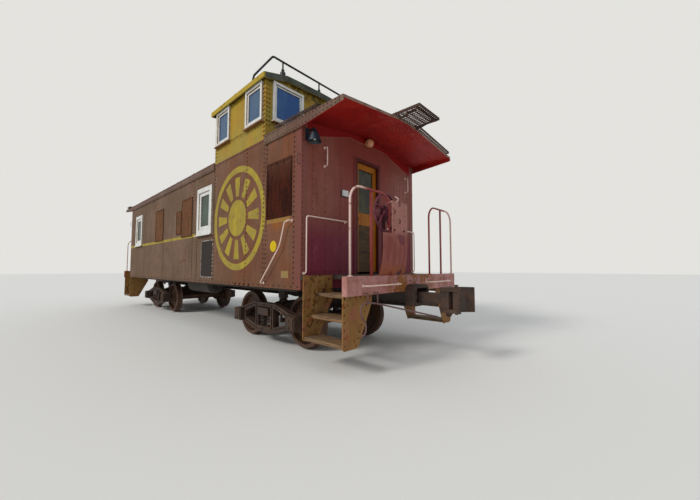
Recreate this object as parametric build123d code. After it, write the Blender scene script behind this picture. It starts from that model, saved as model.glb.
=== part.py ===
from build123d import *
import math
import os

# A steel railway caboose with an offset cupola, millimetres.
# +X runs along the car to the A end, -Y is the left side and +Z is up.
# Z = 0 is the lowest point of the wheel flanges.
# Points of a section across the car are (y, z), of a section along it (x, z), and of a plan (x, y).

# Wheels and axles
FLANGE_DEPTH = 25
TREAD_RADIUS = 419
RIM_WIDTH = 140
RIM_THICKNESS = 62
WHEEL_BACK_Y = 676
PLATE_THICKNESS = 24
HUB_RADIUS = 135
HUB_LENGTH = 190
WHEEL_SEAT_RADIUS = 88
AXLE_RADIUS = 80
JOURNAL_RADIUS = 70
JOURNAL_Y = 978
RUNNING_FIT = 0.1
SEAT_GAP = 0.3

# Trucks
WHEELBASE = 1676
TRUCK_INSET = 1525
CENTRE_PLATE_RISE = 256
CENTRE_PLATE_RADIUS = 165
SIDE_FRAME_WIDTH = 120
SIDE_FRAME_POCKET = 20
SIDE_FRAME_RIB = 26
BOLSTER_HALF = 165
BOLSTER_WINDOW = 200
SPRING_HEIGHT = 200
SPRING_RADIUS = 62
BRAKE_BEAM_DEPTH = 60
BRAKE_BEAM_GAP = 29
SHOE_Y = 757
SHOE_WIDTH = 64
WHEEL_CLEARANCE = 6

# Underframe
BODY_BOLSTER_DEPTH = 80
BODY_BOLSTER_HALF = 190
CENTRE_SILL_HEIGHT = 385
CENTRE_SILL_HALF = 170
CENTRE_SILL_PLATE = 20
SIDE_SILL_DEPTH = 60
SIDE_SILL_HEIGHT = 125
SECTION_PLATE = 14
CROSS_BEARER_XS = (-1100, 700, 1700)

# Car body
BODY_LENGTH = 9350
BODY_WIDTH = 2870
SIDE_WALL = 70
END_WALL = 90
FLOOR_THICKNESS = 60
SKIRT_DEPTH = 200
EAVE_HEIGHT = 2200
ROOF_SHOULDER_Y = 330
ROOF_SHOULDER_RISE = 137
ROOF_CROWN = 18
ROOF_THICKNESS = 40
ROOF_OVERHANG = 825
FASCIA_THICKNESS = 22
FASCIA_DEPTH = 150
FASCIA_TIP_DEPTH = 78
SEAM_CAP_WIDTH = 44
SEAM_CAP_RISE = 9
SEAM_CAP_PITCH = 1050

# Cupola
CUPOLA_LENGTH = 1840
CUPOLA_SETBACK = 935
CUPOLA_HEIGHT = 870
CUPOLA_WALL = 70
CUPOLA_OVERHANG_X = 60
CUPOLA_EAVE_OUT = 75
CUPOLA_SHOULDER_Y = 1050
CUPOLA_SHOULDER_RISE = 132
CUPOLA_CROWN = 33
CUPOLA_ROOF_THICKNESS = 55
CUPOLA_FASCIA_DEPTH = 105
HANDRAIL_HEIGHT = 225
HANDRAIL_RADIUS = 17
STANCHION_OUTER_Y = 1101
STANCHION_INNER_Y = 286
STANCHION_RADIUS = 14
STACK_SETBACK = 1300
STACK_Y = 820
STACK_RADIUS = 80
STACK_HEIGHT = 500

# Platforms and steps
PLATFORM_LENGTH = 870
END_SILL_DEPTH = 80
END_SILL_HEIGHT = 235
STEP_WELL_DEPTH = 555
STEP_START = 40
STEP_PLATE = 14
STEP_COUNT = 3
STEP_FIRST_DROP = 245
STEP_RISE = 285
STEP_SETBACK = 115
STEP_TREAD_THICKNESS = 45
STEP_TREAD_DEPTH = 260

# Railings, brake stands and handholds
RAIL_TOP = 1115
RAIL_RADIUS = 19
RAIL_INNER_Y = 552
RAIL_CORNER_INSET = 77
RAIL_BEND = 190
STAND_BULGE = 70
STAND_BULGE_HEIGHT = 395
STAND_PLATE = 8
STAND_SHEET_Y = 790
STAND_POST_Y = 585
STAND_POST_WIDTH = 75
STAND_INNER_Y = 210
STAND_SHEET_GAP = 25
STAND_PANEL_DROP = 542
STAND_TOP_DROP = 92
STAND_TOP_CUT = 190
STAND_FOOT_CUT = 150
BRAKE_WHEEL_RADIUS = 262
BRAKE_WHEEL_Y = -555
BRAKE_WHEEL_DROP = 245
GRAB_RADIUS = 9.5
GRAB_REACH = 65

# Roof gratings
BOARD_HALF = 300
BOARD_RISE = 62
BOARD_REACH = 370
GRATING_DEPTH = 18
GRATING_BAR = 7
GRATING_EDGE = 38
GRATING_PITCH = 50
GRATING_FOOT = 24
FOOT_PITCH = 600
GRATING_LEG_Y = 240
LATERAL_LIFT = 52
WALK_START = 80
WALK_LENGTH = 1000
WALK_WIDTH = 260
WALK_INSET = 85

# Lamps
LAMP_INSET = 135
LAMP_DROP = 345
GLOBE_RADIUS = 74
GLOBE_BASE_RADIUS = 60
GLOBE_CLEARANCE = 3

# Air brake gear
TANK_BACK_X = -850
TANK_FRONT_X = 450
TANK_Y = -720
TANK_RADIUS = 190
TANK_DROP = 265
BRAKE_CYLINDER_BACK_X = -600
BRAKE_CYLINDER_LENGTH = 570
BRAKE_CYLINDER_Y = 620
BRAKE_CYLINDER_RADIUS = 160
BRAKE_CYLINDER_DROP = 235
TRAIN_PIPE_Y = -1180
TRAIN_PIPE_RADIUS = 17
TRAIN_PIPE_DROP = 180
PIPE_HOOK_PITCH = 2000

# Couplers
COUPLER_ABOVE_SILL = 121
COUPLER_PIN_SETBACK = 415
COUPLER_PIN_RADIUS = 38
COUPLER_REACH = 835
SHANK_WIDTH = 130
SHANK_HEIGHT = 150
HEAD_HALF_HEIGHT = 165
KNUCKLE_HALF_HEIGHT = 115
KNUCKLE_PIN_RADIUS = 20
KNUCKLE_SETBACK = 105
KNUCKLE_Y = -135
STRIKER_LENGTH = 150
STRIKER_HALF = 205

# End doors
DOOR_WIDTH = 570
DOOR_HEIGHT = 1850
DOOR_SILL = 35
DOOR_THICKNESS = 42
DOOR_GAP = 9
DOOR_STOP = 12
DOOR_STILE = 95
DOOR_BOARDS = 6
MOULDING_PROUD = 10
HINGE_RADIUS = 9
HINGE_HEIGHT = 90

# Values worked out from the sizes above
AXLE_Z = FLANGE_DEPTH + TREAD_RADIUS
WHEEL_FACE_Y = WHEEL_BACK_Y + RIM_WIDTH
AXLE_HALF_LENGTH = JOURNAL_Y + 96
AXLE_OFFSET = WHEELBASE / 2
CENTRE_PLATE_Z = AXLE_Z + CENTRE_PLATE_RISE
SPRING_SEAT_Z = AXLE_Z - 144
BOLSTER_BOTTOM = SPRING_SEAT_Z + SPRING_HEIGHT
CENTRE_SILL_BOTTOM = CENTRE_PLATE_Z + BODY_BOLSTER_DEPTH
FLOOR_BOTTOM = CENTRE_SILL_BOTTOM + CENTRE_SILL_HEIGHT
FLOOR_TOP = FLOOR_BOTTOM + FLOOR_THICKNESS
SIDE_BOTTOM = FLOOR_TOP - SKIRT_DEPTH
END_SILL_BOTTOM = FLOOR_TOP - END_SILL_HEIGHT
HALF_L = BODY_LENGTH / 2
HALF_W = BODY_WIDTH / 2
INNER_L = HALF_L - END_WALL
INNER_W = HALF_W - SIDE_WALL
SIDE_SILL_BACK = INNER_W - SIDE_SILL_DEPTH
TRUCK_CENTRE_X = HALF_L - TRUCK_INSET
SILL_FACE_X = HALF_L + PLATFORM_LENGTH
SILL_BACK_X = SILL_FACE_X - END_SILL_DEPTH
STEP_WELL_Y = HALF_W - STEP_WELL_DEPTH
STEP_IN_X = HALF_L + STEP_START
ROOF_EAVE_Z = FLOOR_TOP + EAVE_HEIGHT
ROOF_SHOULDER_Z = ROOF_EAVE_Z + ROOF_SHOULDER_RISE
ROOF_RIDGE_Z = ROOF_SHOULDER_Z + ROOF_CROWN
ROOF_TIP_X = HALF_L + ROOF_OVERHANG
ROOF_SKIRT_Z = ROOF_EAVE_Z - FASCIA_DEPTH
EAVE_Y = HALF_W + FASCIA_THICKNESS
CUPOLA_FRONT_X = HALF_L - CUPOLA_SETBACK
CUPOLA_BACK_X = CUPOLA_FRONT_X - CUPOLA_LENGTH
CUPOLA_EAVE_Y = HALF_W + CUPOLA_EAVE_OUT
CUPOLA_EAVE_Z = ROOF_RIDGE_Z + CUPOLA_HEIGHT
CUPOLA_SHOULDER_Z = CUPOLA_EAVE_Z + CUPOLA_SHOULDER_RISE
CUPOLA_RIDGE_Z = CUPOLA_SHOULDER_Z + CUPOLA_CROWN
RAIL_X = SILL_FACE_X - 22
RAIL_TOP_Z = FLOOR_TOP + RAIL_TOP
RAIL_OUTER_Y = HALF_W - RAIL_CORNER_INSET
COUPLER_Z = CENTRE_SILL_BOTTOM + COUPLER_ABOVE_SILL
COUPLER_PIN_X = SILL_FACE_X - COUPLER_PIN_SETBACK
COUPLER_FACE_X = SILL_FACE_X + COUPLER_REACH
KNUCKLE_X = COUPLER_FACE_X - KNUCKLE_SETBACK
DOOR_BOTTOM = FLOOR_TOP + DOOR_SILL
DOOR_TOP = DOOR_BOTTOM + DOOR_HEIGHT
DOOR_HALF = DOOR_WIDTH / 2
DOOR_INNER_X = INNER_L + 5
DOOR_OUTER_X = DOOR_INNER_X + DOOR_THICKNESS
DOOR_AXIS_X = INNER_L - 12
DOOR_GLASS_Z = DOOR_BOTTOM + 995

REAR_WINDOW_X = 1075 - HALF_L
REAR_COVER_SHARE = 0.368

# Windows of one side: centre x, sill above the floor, outer width and height, casing and sash width
SIDE_WINDOWS = (
    (REAR_WINDOW_X, 810, 730, 950, 95, 70),
    (CUPOLA_BACK_X - 410, 795, 730, 980, 95, 75),
)
# Plated windows of one side: centre x, sill above the floor, outer width and height
PLATED_WINDOWS = (
    (REAR_WINDOW_X + REAR_COVER_SHARE * (CUPOLA_BACK_X - REAR_WINDOW_X), 825, 690, 870),
    (CUPOLA_BACK_X - 1955, 905, 330, 560),
    (CUPOLA_BACK_X - 1437, 810, 650, 885),
    (HALF_L - 525, 845, 650, 860),
)
# Cupola side windows: centre x, sill above the car roof's ridge, outer width and height, casing and sash width
CUPOLA_SIDE_WINDOWS = (
    (CUPOLA_BACK_X + 363, 135, 540, 660, 50, 36),
    (CUPOLA_FRONT_X - 336, 135, 540, 660, 50, 36),
)
# Cupola end windows: centre y, sill above the ridge, outer width and height, casing and sash width
CUPOLA_END_WINDOWS = (
    (440 - HALF_W, 150, 620, 670, 42, 30),
    (HALF_W - 440, 150, 620, 670, 42, 30),
)
CASING_PROUD = 35
SASH_PROUD = 14
FRAME_REBATE = 25
GLASS_THICKNESS = 6
COVER_THICKNESS = 6
COVER_RIM = 30


def block(x0, x1, y0, y1, z0, z1):
    """A box given by its six faces."""
    centre = Pos((x0 + x1) / 2, (y0 + y1) / 2, (z0 + z1) / 2)
    return centre * Box(x1 - x0, y1 - y0, z1 - z0)


def across(points, x0, x1):
    """A prism along X from (y, z) corners."""
    face = make_face(Polyline(*points, close=True))
    return extrude(Plane(origin=(x0, 0, 0), x_dir=(0, 1, 0), z_dir=(1, 0, 0)) * face, amount=x1 - x0)


def along(face, y0, y1):
    """A prism along Y from a face drawn as (x, z)."""
    return extrude(Plane(origin=(0, y1, 0), x_dir=(1, 0, 0), z_dir=(0, -1, 0)) * face, amount=y1 - y0)


def outline(points, radius=0):
    """A flat face from its corners, each rounded by the radius."""
    if radius:
        return make_face(FilletPolyline(*points, radius=radius, close=True))
    return make_face(Polyline(*points, close=True))


def upright(face, z0, z1):
    """A prism along Z from a face drawn as (x, y)."""
    return extrude(Plane.XY.offset(z0) * face, amount=z1 - z0)


def rod_x(y, z, radius, x0, x1):
    """A round bar along X."""
    return Pos((x0 + x1) / 2, y, z) * Rot(Y=90) * Cylinder(radius, x1 - x0)


def rod_y(x, z, radius, y0, y1):
    """A round bar along Y."""
    return Pos(x, (y0 + y1) / 2, z) * Rot(X=90) * Cylinder(radius, y1 - y0)


def rod_z(x, y, radius, z0, z1):
    """A round bar along Z."""
    return Pos(x, y, (z0 + z1) / 2) * Cylinder(radius, z1 - z0)


def standing_cone(low_radius, high_radius, height):
    """A cone that stands on z = 0."""
    return Cone(low_radius, high_radius, height, align=(Align.CENTER, Align.CENTER, Align.MIN))


def pipe(points, radius, bend):
    """A round bar bent at each corner of a line of points, by one bend radius or a list of them."""
    path = FilletPolyline(*points, radius=bend)
    section = Plane(origin=path @ 0, z_dir=path % 0) * Circle(radius)
    return sweep(section, path=path)


def fuse(pieces):
    """One shape from a list of pieces."""
    first, *rest = list(pieces)
    return first + rest if rest else first


def spread(first, last, pitch):
    """Evenly spaced places from first to last, about a pitch apart."""
    count = max(1, round(abs(last - first) / pitch))
    return [first + (last - first) * n / count for n in range(count + 1)]


def to_b_end(shape):
    """The same piece at the other end of the car."""
    return Rot(Z=180) * shape


def both_ends(shape):
    """The piece and its twin at the other end."""
    return [shape, to_b_end(shape)]


def both_sides(shape):
    """The piece and its mirror image on the other side."""
    return [shape, mirror(shape, about=Plane.XZ)]


def four_corners(shape):
    """The piece at both sides of both ends."""
    return [piece for one in both_sides(shape) for piece in both_ends(one)]


def arched_face(x, eave_y, eave_z, shoulder_y, shoulder_z, ridge_z, bottom_z):
    """A face across the car under two eave slopes and a crowned middle, down to a flat bottom."""
    crown = ThreePointArc((-shoulder_y, shoulder_z), (0, ridge_z), (shoulder_y, shoulder_z))
    sides = Polyline((shoulder_y, shoulder_z), (eave_y, eave_z), (eave_y, bottom_z),
                     (-eave_y, bottom_z), (-eave_y, eave_z), (-shoulder_y, shoulder_z))
    face = make_face(Curve() + [crown, sides])
    return Plane(origin=(x, 0, 0), x_dir=(0, 1, 0), z_dir=(1, 0, 0)) * face


def under_roof(x0, x1, drop, bottom_z):
    """Everything below the car roof's top face, lowered by drop."""
    face = arched_face(x0, EAVE_Y, ROOF_EAVE_Z - drop, ROOF_SHOULDER_Y, ROOF_SHOULDER_Z - drop,
                       ROOF_RIDGE_Z - drop, bottom_z)
    return extrude(face, amount=x1 - x0)


def under_cupola_roof(x0, x1, drop, bottom_z):
    """Everything below the cupola roof's top face, lowered by drop."""
    face = arched_face(x0, CUPOLA_EAVE_Y, CUPOLA_EAVE_Z - drop, CUPOLA_SHOULDER_Y,
                       CUPOLA_SHOULDER_Z - drop, CUPOLA_RIDGE_Z - drop, bottom_z)
    return extrude(face, amount=x1 - x0)


def centre_sill():
    """The box centre sill: a hat section open below, cut back where the end sills cross it."""
    half, plate = CENTRE_SILL_HALF, CENTRE_SILL_PLATE
    flange = half + 70
    low, high = CENTRE_SILL_BOTTOM, FLOOR_BOTTOM
    right = [(half - plate, high - plate), (half - plate, low), (flange, low), (flange, low + plate - 2),
             (half, low + plate - 2), (half, high)]
    left = [(-y, z) for y, z in reversed(right)]
    sill = across(right + left, -SILL_FACE_X, SILL_FACE_X)
    notch = block(SILL_BACK_X, SILL_FACE_X, -flange, flange, END_SILL_BOTTOM, FLOOR_TOP)
    for piece in both_ends(notch):
        sill -= piece
    return sill


def coupler_pin():
    """The A end coupler pin on its carrier between the sill webs."""
    inner = CENTRE_SILL_HALF - CENTRE_SILL_PLATE
    x = COUPLER_PIN_X
    pin = rod_z(x, 0, COUPLER_PIN_RADIUS, CENTRE_SILL_BOTTOM, FLOOR_BOTTOM - CENTRE_SILL_PLATE)
    top = COUPLER_Z - SHANK_HEIGHT / 2 - SEAT_GAP
    return pin + block(x - 60, x + 60, -inner, inner, CENTRE_SILL_BOTTOM, top)


def body_bolster(x):
    """A body bolster: tapered arms, bottom cover plate, centre plate, side bearings and jack pads."""
    low = CENTRE_SILL_BOTTOM - 18
    flange = CENTRE_SILL_HALF + 70
    tip_z = FLOOR_BOTTOM - SIDE_SILL_HEIGHT
    flange_z = CENTRE_SILL_BOTTOM + CENTRE_SILL_PLATE - 2
    arm = across([(CENTRE_SILL_HALF, FLOOR_BOTTOM), (CENTRE_SILL_HALF, flange_z), (flange, flange_z), (flange, low),
                  (700, low + 140), (SIDE_SILL_BACK, tip_z), (SIDE_SILL_BACK, FLOOR_BOTTOM)],
                 x - BODY_BOLSTER_HALF, x + BODY_BOLSTER_HALF)
    bearing = block(x - 90, x + 90, 590, 680, CENTRE_PLATE_Z + 70, low + 160)
    pad = block(x - 100, x + 100, SIDE_SILL_BACK - 90, SIDE_SILL_BACK, tip_z - 20, tip_z + 20)
    plate = block(x - BODY_BOLSTER_HALF, x + BODY_BOLSTER_HALF, -flange, flange, low, CENTRE_SILL_BOTTOM)
    disc = rod_z(x, 0, CENTRE_PLATE_RADIUS, CENTRE_PLATE_Z, low)
    return fuse([plate, disc] + both_sides(arm) + both_sides(bearing) + both_sides(pad))


def cross_bearers():
    """Pressed bearers from the centre sill to the side sills."""
    pieces = []
    root_z, tip_z = FLOOR_BOTTOM - 235, FLOOR_BOTTOM - 85
    for x in CROSS_BEARER_XS:
        web = across([(CENTRE_SILL_HALF, FLOOR_BOTTOM), (CENTRE_SILL_HALF, root_z), (SIDE_SILL_BACK, tip_z),
                      (SIDE_SILL_BACK, FLOOR_BOTTOM)], x - 6, x + 6)
        foot = across([(CENTRE_SILL_HALF, root_z + 12), (CENTRE_SILL_HALF, root_z), (SIDE_SILL_BACK, tip_z),
                       (SIDE_SILL_BACK, tip_z + 12)], x - 50, x + 50)
        pieces += both_sides(web + foot)
    return pieces


def side_sill():
    """The right side sill, a channel with its back to the side sheet."""
    low, high, plate = FLOOR_BOTTOM - SIDE_SILL_HEIGHT, FLOOR_BOTTOM, SECTION_PLATE
    inner, outer = SIDE_SILL_BACK, INNER_W
    section = [(inner, low), (outer, low), (outer, high), (inner, high), (inner, high - plate),
               (outer - plate, high - plate), (outer - plate, low + plate), (inner, low + plate)]
    return across(section, -INNER_L, INNER_L)


def floor_plate():
    """The cabin floor on top of the underframe."""
    return block(-INNER_L, INNER_L, -INNER_W, INNER_W, FLOOR_BOTTOM, FLOOR_TOP)


def glass_inset(casing, sash):
    """How far the wall's hole lies inside a frame's outer edge."""
    return casing + sash - FRAME_REBATE


def side_wall():
    """The left side wall with its glazed windows cut."""
    wall = block(-HALF_L, HALF_L, -HALF_W, -INNER_W, SIDE_BOTTOM, ROOF_RIDGE_Z)
    wall = wall & under_roof(-HALF_L, HALF_L, ROOF_THICKNESS, SIDE_BOTTOM)
    for x, sill, width, height, casing, sash in SIDE_WINDOWS:
        inset = glass_inset(casing, sash)
        z = FLOOR_TOP + sill
        wall -= block(x - width / 2 + inset, x + width / 2 - inset, -HALF_W, -INNER_W,
                      z + inset, z + height - inset)
    return wall


def moulding():
    """The raised moulding over the A end door, two slopes and a level middle."""
    level_y, slope_y, depth = 440, HALF_W - 145, 28
    high, low = ROOF_EAVE_Z + 30, ROOF_EAVE_Z - 220
    upper = [(-slope_y, low), (-level_y, high), (level_y, high), (slope_y, low)]
    return across(upper + [(y, z - depth) for y, z in reversed(upper)], HALF_L, HALF_L + MOULDING_PROUD)


def end_wall():
    """The A end wall with its doorway, stop lip, door surround and arched moulding."""
    wall = block(INNER_L, HALF_L, -INNER_W, INNER_W, SIDE_BOTTOM, ROOF_RIDGE_Z)
    wall = wall & under_roof(INNER_L, HALF_L, ROOF_THICKNESS, SIDE_BOTTOM)
    half = DOOR_HALF + DOOR_GAP
    lip = DOOR_HALF - DOOR_STOP
    wall -= block(INNER_L, HALF_L, -CENTRE_SILL_HALF, CENTRE_SILL_HALF, SIDE_BOTTOM, FLOOR_BOTTOM)
    wall -= block(INNER_L, DOOR_OUTER_X + DOOR_GAP, -half, half, FLOOR_TOP, DOOR_TOP + DOOR_GAP)
    wall -= block(INNER_L, HALF_L, -lip, lip, FLOOR_TOP, DOOR_TOP - DOOR_STOP)
    trim_out, trim_proud = lip + 80, 14
    trim = block(HALF_L, HALF_L + trim_proud, -trim_out, trim_out, FLOOR_TOP, DOOR_TOP + 62)
    trim -= block(HALF_L, HALF_L + trim_proud, -lip, lip, FLOOR_TOP, DOOR_TOP - DOOR_STOP)
    return fuse([wall, trim, moulding()])


def seam_caps(x0, x1, rise_over):
    """Arched straps over the roof sheets' joints between two places."""
    places = spread(x0, x1, SEAM_CAP_PITCH)[1:-1]
    return [rise_over(x - SEAM_CAP_WIDTH / 2, x + SEAM_CAP_WIDTH / 2) for x in places]


def car_seam_cap(x0, x1):
    """One strap over the car roof."""
    return under_roof(x0, x1, -SEAM_CAP_RISE, ROOF_SKIRT_Z) - under_roof(x0, x1, 0, ROOF_SKIRT_Z)


def cupola_seam_cap(x0, x1):
    """One strap over the cupola roof."""
    low = CUPOLA_EAVE_Z - CUPOLA_ROOF_THICKNESS
    return under_cupola_roof(x0, x1, -SEAM_CAP_RISE, low) - under_cupola_roof(x0, x1, 0, low)


def roof(body_x, wall_x, tip_x):
    """A length of roof from the cupola to one tip, with eave fascias that taper over the platform."""
    x0, x1 = min(body_x, tip_x), max(body_x, tip_x)
    shell = under_roof(x0, x1, 0, ROOF_SKIRT_Z) - under_roof(x0, x1, ROOF_THICKNESS, ROOF_SKIRT_Z)
    fascia = along(outline([(body_x, ROOF_EAVE_Z), (body_x, ROOF_SKIRT_Z), (wall_x, ROOF_SKIRT_Z),
                            (tip_x, ROOF_EAVE_Z - FASCIA_TIP_DEPTH), (tip_x, ROOF_EAVE_Z)]), HALF_W, EAVE_Y)
    return fuse([shell] + both_sides(fascia) + seam_caps(body_x, tip_x, car_seam_cap))


def cupola_side():
    """The cupola's left side, flush with the car side."""
    wall = block(CUPOLA_BACK_X, CUPOLA_FRONT_X, -HALF_W, -HALF_W + CUPOLA_WALL, SIDE_BOTTOM,
                 CUPOLA_RIDGE_Z)
    wall = wall & under_cupola_roof(CUPOLA_BACK_X, CUPOLA_FRONT_X, CUPOLA_ROOF_THICKNESS, SIDE_BOTTOM)
    wall = wall - under_roof(CUPOLA_BACK_X, CUPOLA_FRONT_X, ROOF_THICKNESS, SIDE_BOTTOM)
    for x, sill, width, height, casing, sash in CUPOLA_SIDE_WINDOWS:
        inset = glass_inset(casing, sash)
        z = ROOF_RIDGE_Z + sill
        wall -= block(x - width / 2 + inset, x + width / 2 - inset, -HALF_W, -HALF_W + CUPOLA_WALL,
                      z + inset, z + height - inset)
    return wall


def cupola_end(outer_x, inner_x):
    """One end of the cupola, from the ceiling line up to the cupola roof."""
    x0, x1 = min(outer_x, inner_x), max(outer_x, inner_x)
    side = HALF_W - CUPOLA_WALL
    wall = block(x0, x1, -side, side, ROOF_SKIRT_Z, CUPOLA_RIDGE_Z)
    wall = wall & under_cupola_roof(x0, x1, CUPOLA_ROOF_THICKNESS, SIDE_BOTTOM)
    wall = wall - under_roof(x0, x1, ROOF_THICKNESS, SIDE_BOTTOM)
    for y, sill, width, height, casing, sash in CUPOLA_END_WINDOWS:
        inset = glass_inset(casing, sash)
        z = ROOF_RIDGE_Z + sill
        wall -= block(x0, x1, y - width / 2 + inset, y + width / 2 - inset, z + inset, z + height - inset)
    return wall


def cupola_roof():
    """The crowned cupola roof with deep end fascias and seam caps."""
    x0, x1 = CUPOLA_BACK_X - CUPOLA_OVERHANG_X, CUPOLA_FRONT_X + CUPOLA_OVERHANG_X
    low = CUPOLA_EAVE_Z - CUPOLA_ROOF_THICKNESS
    shell = under_cupola_roof(x0, x1, 0, low) - under_cupola_roof(x0, x1, CUPOLA_ROOF_THICKNESS, SIDE_BOTTOM)
    ends = []
    for end in (x0, x1 - FASCIA_THICKNESS):
        below = under_cupola_roof(end, end + FASCIA_THICKNESS, 0, SIDE_BOTTOM)
        ends.append(below - under_cupola_roof(end, end + FASCIA_THICKNESS, CUPOLA_FASCIA_DEPTH, SIDE_BOTTOM))
    sides = across([(CUPOLA_EAVE_Y, CUPOLA_EAVE_Z), (CUPOLA_EAVE_Y, low - 30),
                    (CUPOLA_EAVE_Y - FASCIA_THICKNESS, low - 30),
                    (CUPOLA_EAVE_Y - FASCIA_THICKNESS, CUPOLA_EAVE_Z)], x0, x1)
    trim = [end & block(x0, x1, -CUPOLA_EAVE_Y, CUPOLA_EAVE_Y, low - 30, CUPOLA_RIDGE_Z) for end in ends]
    return fuse([shell] + trim + both_sides(sides) + seam_caps(x0, x1, cupola_seam_cap))


def ring(width, height, inset, band, y0, y1):
    """A flat frame in the XZ plane, inset from a rectangle that is centred in x and stands on z = 0."""
    outer = block(inset - width / 2, width / 2 - inset, y0, y1, inset, height - inset)
    inner = inset + band
    return outer - block(inner - width / 2, width / 2 - inner, y0, y1, inner, height - inner)


def window_frame(width, height, casing, sash):
    """A window's casing, its sash set back inside it, and a sloped sill below."""
    sill = Plane.YZ * outline([(0, 0), (-CASING_PROUD, 0), (-CASING_PROUD - 30, -12), (-CASING_PROUD - 30, -30),
                               (0, -30)])
    ledge = extrude(sill, amount=width / 2 + 20, both=True)
    return fuse([ring(width, height, 0, casing, -CASING_PROUD, 0),
                 ring(width, height, casing, sash, -SASH_PROUD, 0), ledge])


def window_pane(width, height, casing, sash):
    """The pane behind a frame of this size."""
    inset = glass_inset(casing, sash) + 5
    return block(-width / 2 + inset, width / 2 - inset, 0, GLASS_THICKNESS, inset, height - inset)


def place_windows(make):
    """One piece for each glazed window of the car and cupola."""
    pieces = []
    for windows, base_z in ((SIDE_WINDOWS, FLOOR_TOP), (CUPOLA_SIDE_WINDOWS, ROOF_RIDGE_Z)):
        for x, sill, *sizes in windows:
            pieces += both_sides(Pos(x, -HALF_W, base_z + sill) * make(*sizes))
    for y, sill, *sizes in CUPOLA_END_WINDOWS:
        pieces.append(Pos(CUPOLA_FRONT_X, y, ROOF_RIDGE_Z + sill) * Rot(Z=90) * make(*sizes))
        pieces.append(Pos(CUPOLA_BACK_X, y, ROOF_RIDGE_Z + sill) * Rot(Z=-90) * make(*sizes))
    return pieces


def window_covers():
    """Steel sheets with a raised rim over the plated windows of both sides."""
    pieces = []
    for x, sill, width, height in PLATED_WINDOWS:
        sheet = block(-width / 2, width / 2, -COVER_THICKNESS, 0, 0, height)
        rim = ring(width, height, 0, COVER_RIM, -2 * COVER_THICKNESS, -COVER_THICKNESS)
        pieces += both_sides(Pos(x, -HALF_W, FLOOR_TOP + sill) * (sheet + rim))
    return pieces


def grating(length, width, foot):
    """A walkway grating of bars along x in a deeper edge frame over cross feet, with its near corner at the
    origin and its feet on z = 0."""
    top, bar = foot + GRATING_DEPTH, GRATING_BAR
    low = top - min(GRATING_EDGE, top)
    middles = spread(bar / 2, width - bar / 2, GRATING_PITCH)[1:-1]
    bars = [block(0, length, y - bar / 2, y + bar / 2, foot, top) for y in middles]
    edges = [block(0, length, y, y + bar, low, top) for y in (0, width - bar)]
    ends = [block(x, x + bar, 0, width, low, top) for x in (0, length - bar)]
    feet = [block(x - 16, x + 16, 0, width, 0, foot) for x in spread(60, length - 60, FOOT_PITCH)]
    return fuse(bars + edges + ends + feet)


def grating_brace(edge_x, foot_z, y):
    """A flat brace from the roof's edge out to the end of a ridge grating, which it meets from below."""
    way = math.copysign(1, edge_x)
    near, far = way * ROOF_TIP_X, edge_x + way * (BOARD_REACH - 60)
    low, high = ROOF_SHOULDER_Z - ROOF_THICKNESS + 13, ROOF_SHOULDER_Z + 7
    line = outline([(near, low), (far, foot_z), (far, foot_z + GRATING_FOOT), (near, high)])
    return along(line, y - 5, y + 5)


def ridge_board(x0, x1):
    """The grating along the ridge between two places, on legs where the roof is below it."""
    foot_z = ROOF_RIDGE_Z + BOARD_RISE - GRATING_DEPTH - GRATING_FOOT
    board = Pos(x0, -BOARD_HALF, foot_z) * grating(x1 - x0, 2 * BOARD_HALF, GRATING_FOOT)
    on_roof = [x for x in spread(x0 + 60, x1 - 60, FOOT_PITCH) if abs(x) < ROOF_TIP_X - 20]
    low, leg_ys = ROOF_SHOULDER_Z - ROOF_CROWN, (-GRATING_LEG_Y, GRATING_LEG_Y)
    legs = [block(x - 12, x + 12, y - 12, y + 12, low, foot_z) for x in on_roof for y in leg_ys]
    edge_x = math.copysign(ROOF_TIP_X - 12, x0 + x1)
    legs += [block(edge_x - 12, edge_x + 12, y - 12, y + 12, low, foot_z + GRATING_FOOT) for y in leg_ys]
    legs = fuse(legs) - under_roof(-ROOF_TIP_X, ROOF_TIP_X, 0, ROOF_SKIRT_Z)
    return fuse([board, legs] + [grating_brace(edge_x, foot_z, y) for y in leg_ys])


def slope_walk(x0, x1, y0, y1, lift):
    """A grating lifted off the left roof slope, between two places along the car and two down the slope."""
    slope = math.degrees(math.atan2(ROOF_SHOULDER_RISE, EAVE_Y - ROOF_SHOULDER_Y))
    z = ROOF_EAVE_Z + (EAVE_Y - y0) * math.tan(math.radians(slope))
    length = (y1 - y0) / math.cos(math.radians(slope))
    lying = Pos(0, 0, lift) * grating(x1 - x0, length, GRATING_FOOT)
    shims = [block(x - 16, x + 16, y - 16, y + 16, 0, lift) for x in spread(60, x1 - x0 - 60, FOOT_PITCH)
             for y in spread(40, length - 40, FOOT_PITCH)]
    return mirror(Pos(x0, y0, z) * Rot(X=-slope) * fuse([lying] + shims), about=Plane.XZ)


def running_boards():
    """Ridge gratings out past each end of the roof, crosswise walks at the ends and walks before the cupola."""
    tip_x = ROOF_TIP_X + BOARD_REACH
    front = ridge_board(CUPOLA_FRONT_X + 20, tip_x)
    rear = ridge_board(-tip_x, CUPOLA_BACK_X - 20)
    lateral = slope_walk(ROOF_TIP_X - 320, ROOF_TIP_X - 5, BOARD_HALF + 40, EAVE_Y - 40, LATERAL_LIFT)
    lateral = mirror(lateral, about=Plane.XZ)
    x, y = CUPOLA_FRONT_X + WALK_START, HALF_W - WALK_INSET
    walk = slope_walk(x, x + WALK_LENGTH, y - WALK_WIDTH, y, SEAM_CAP_RISE)
    return [front, rear] + both_ends(lateral) + both_sides(walk)


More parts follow.
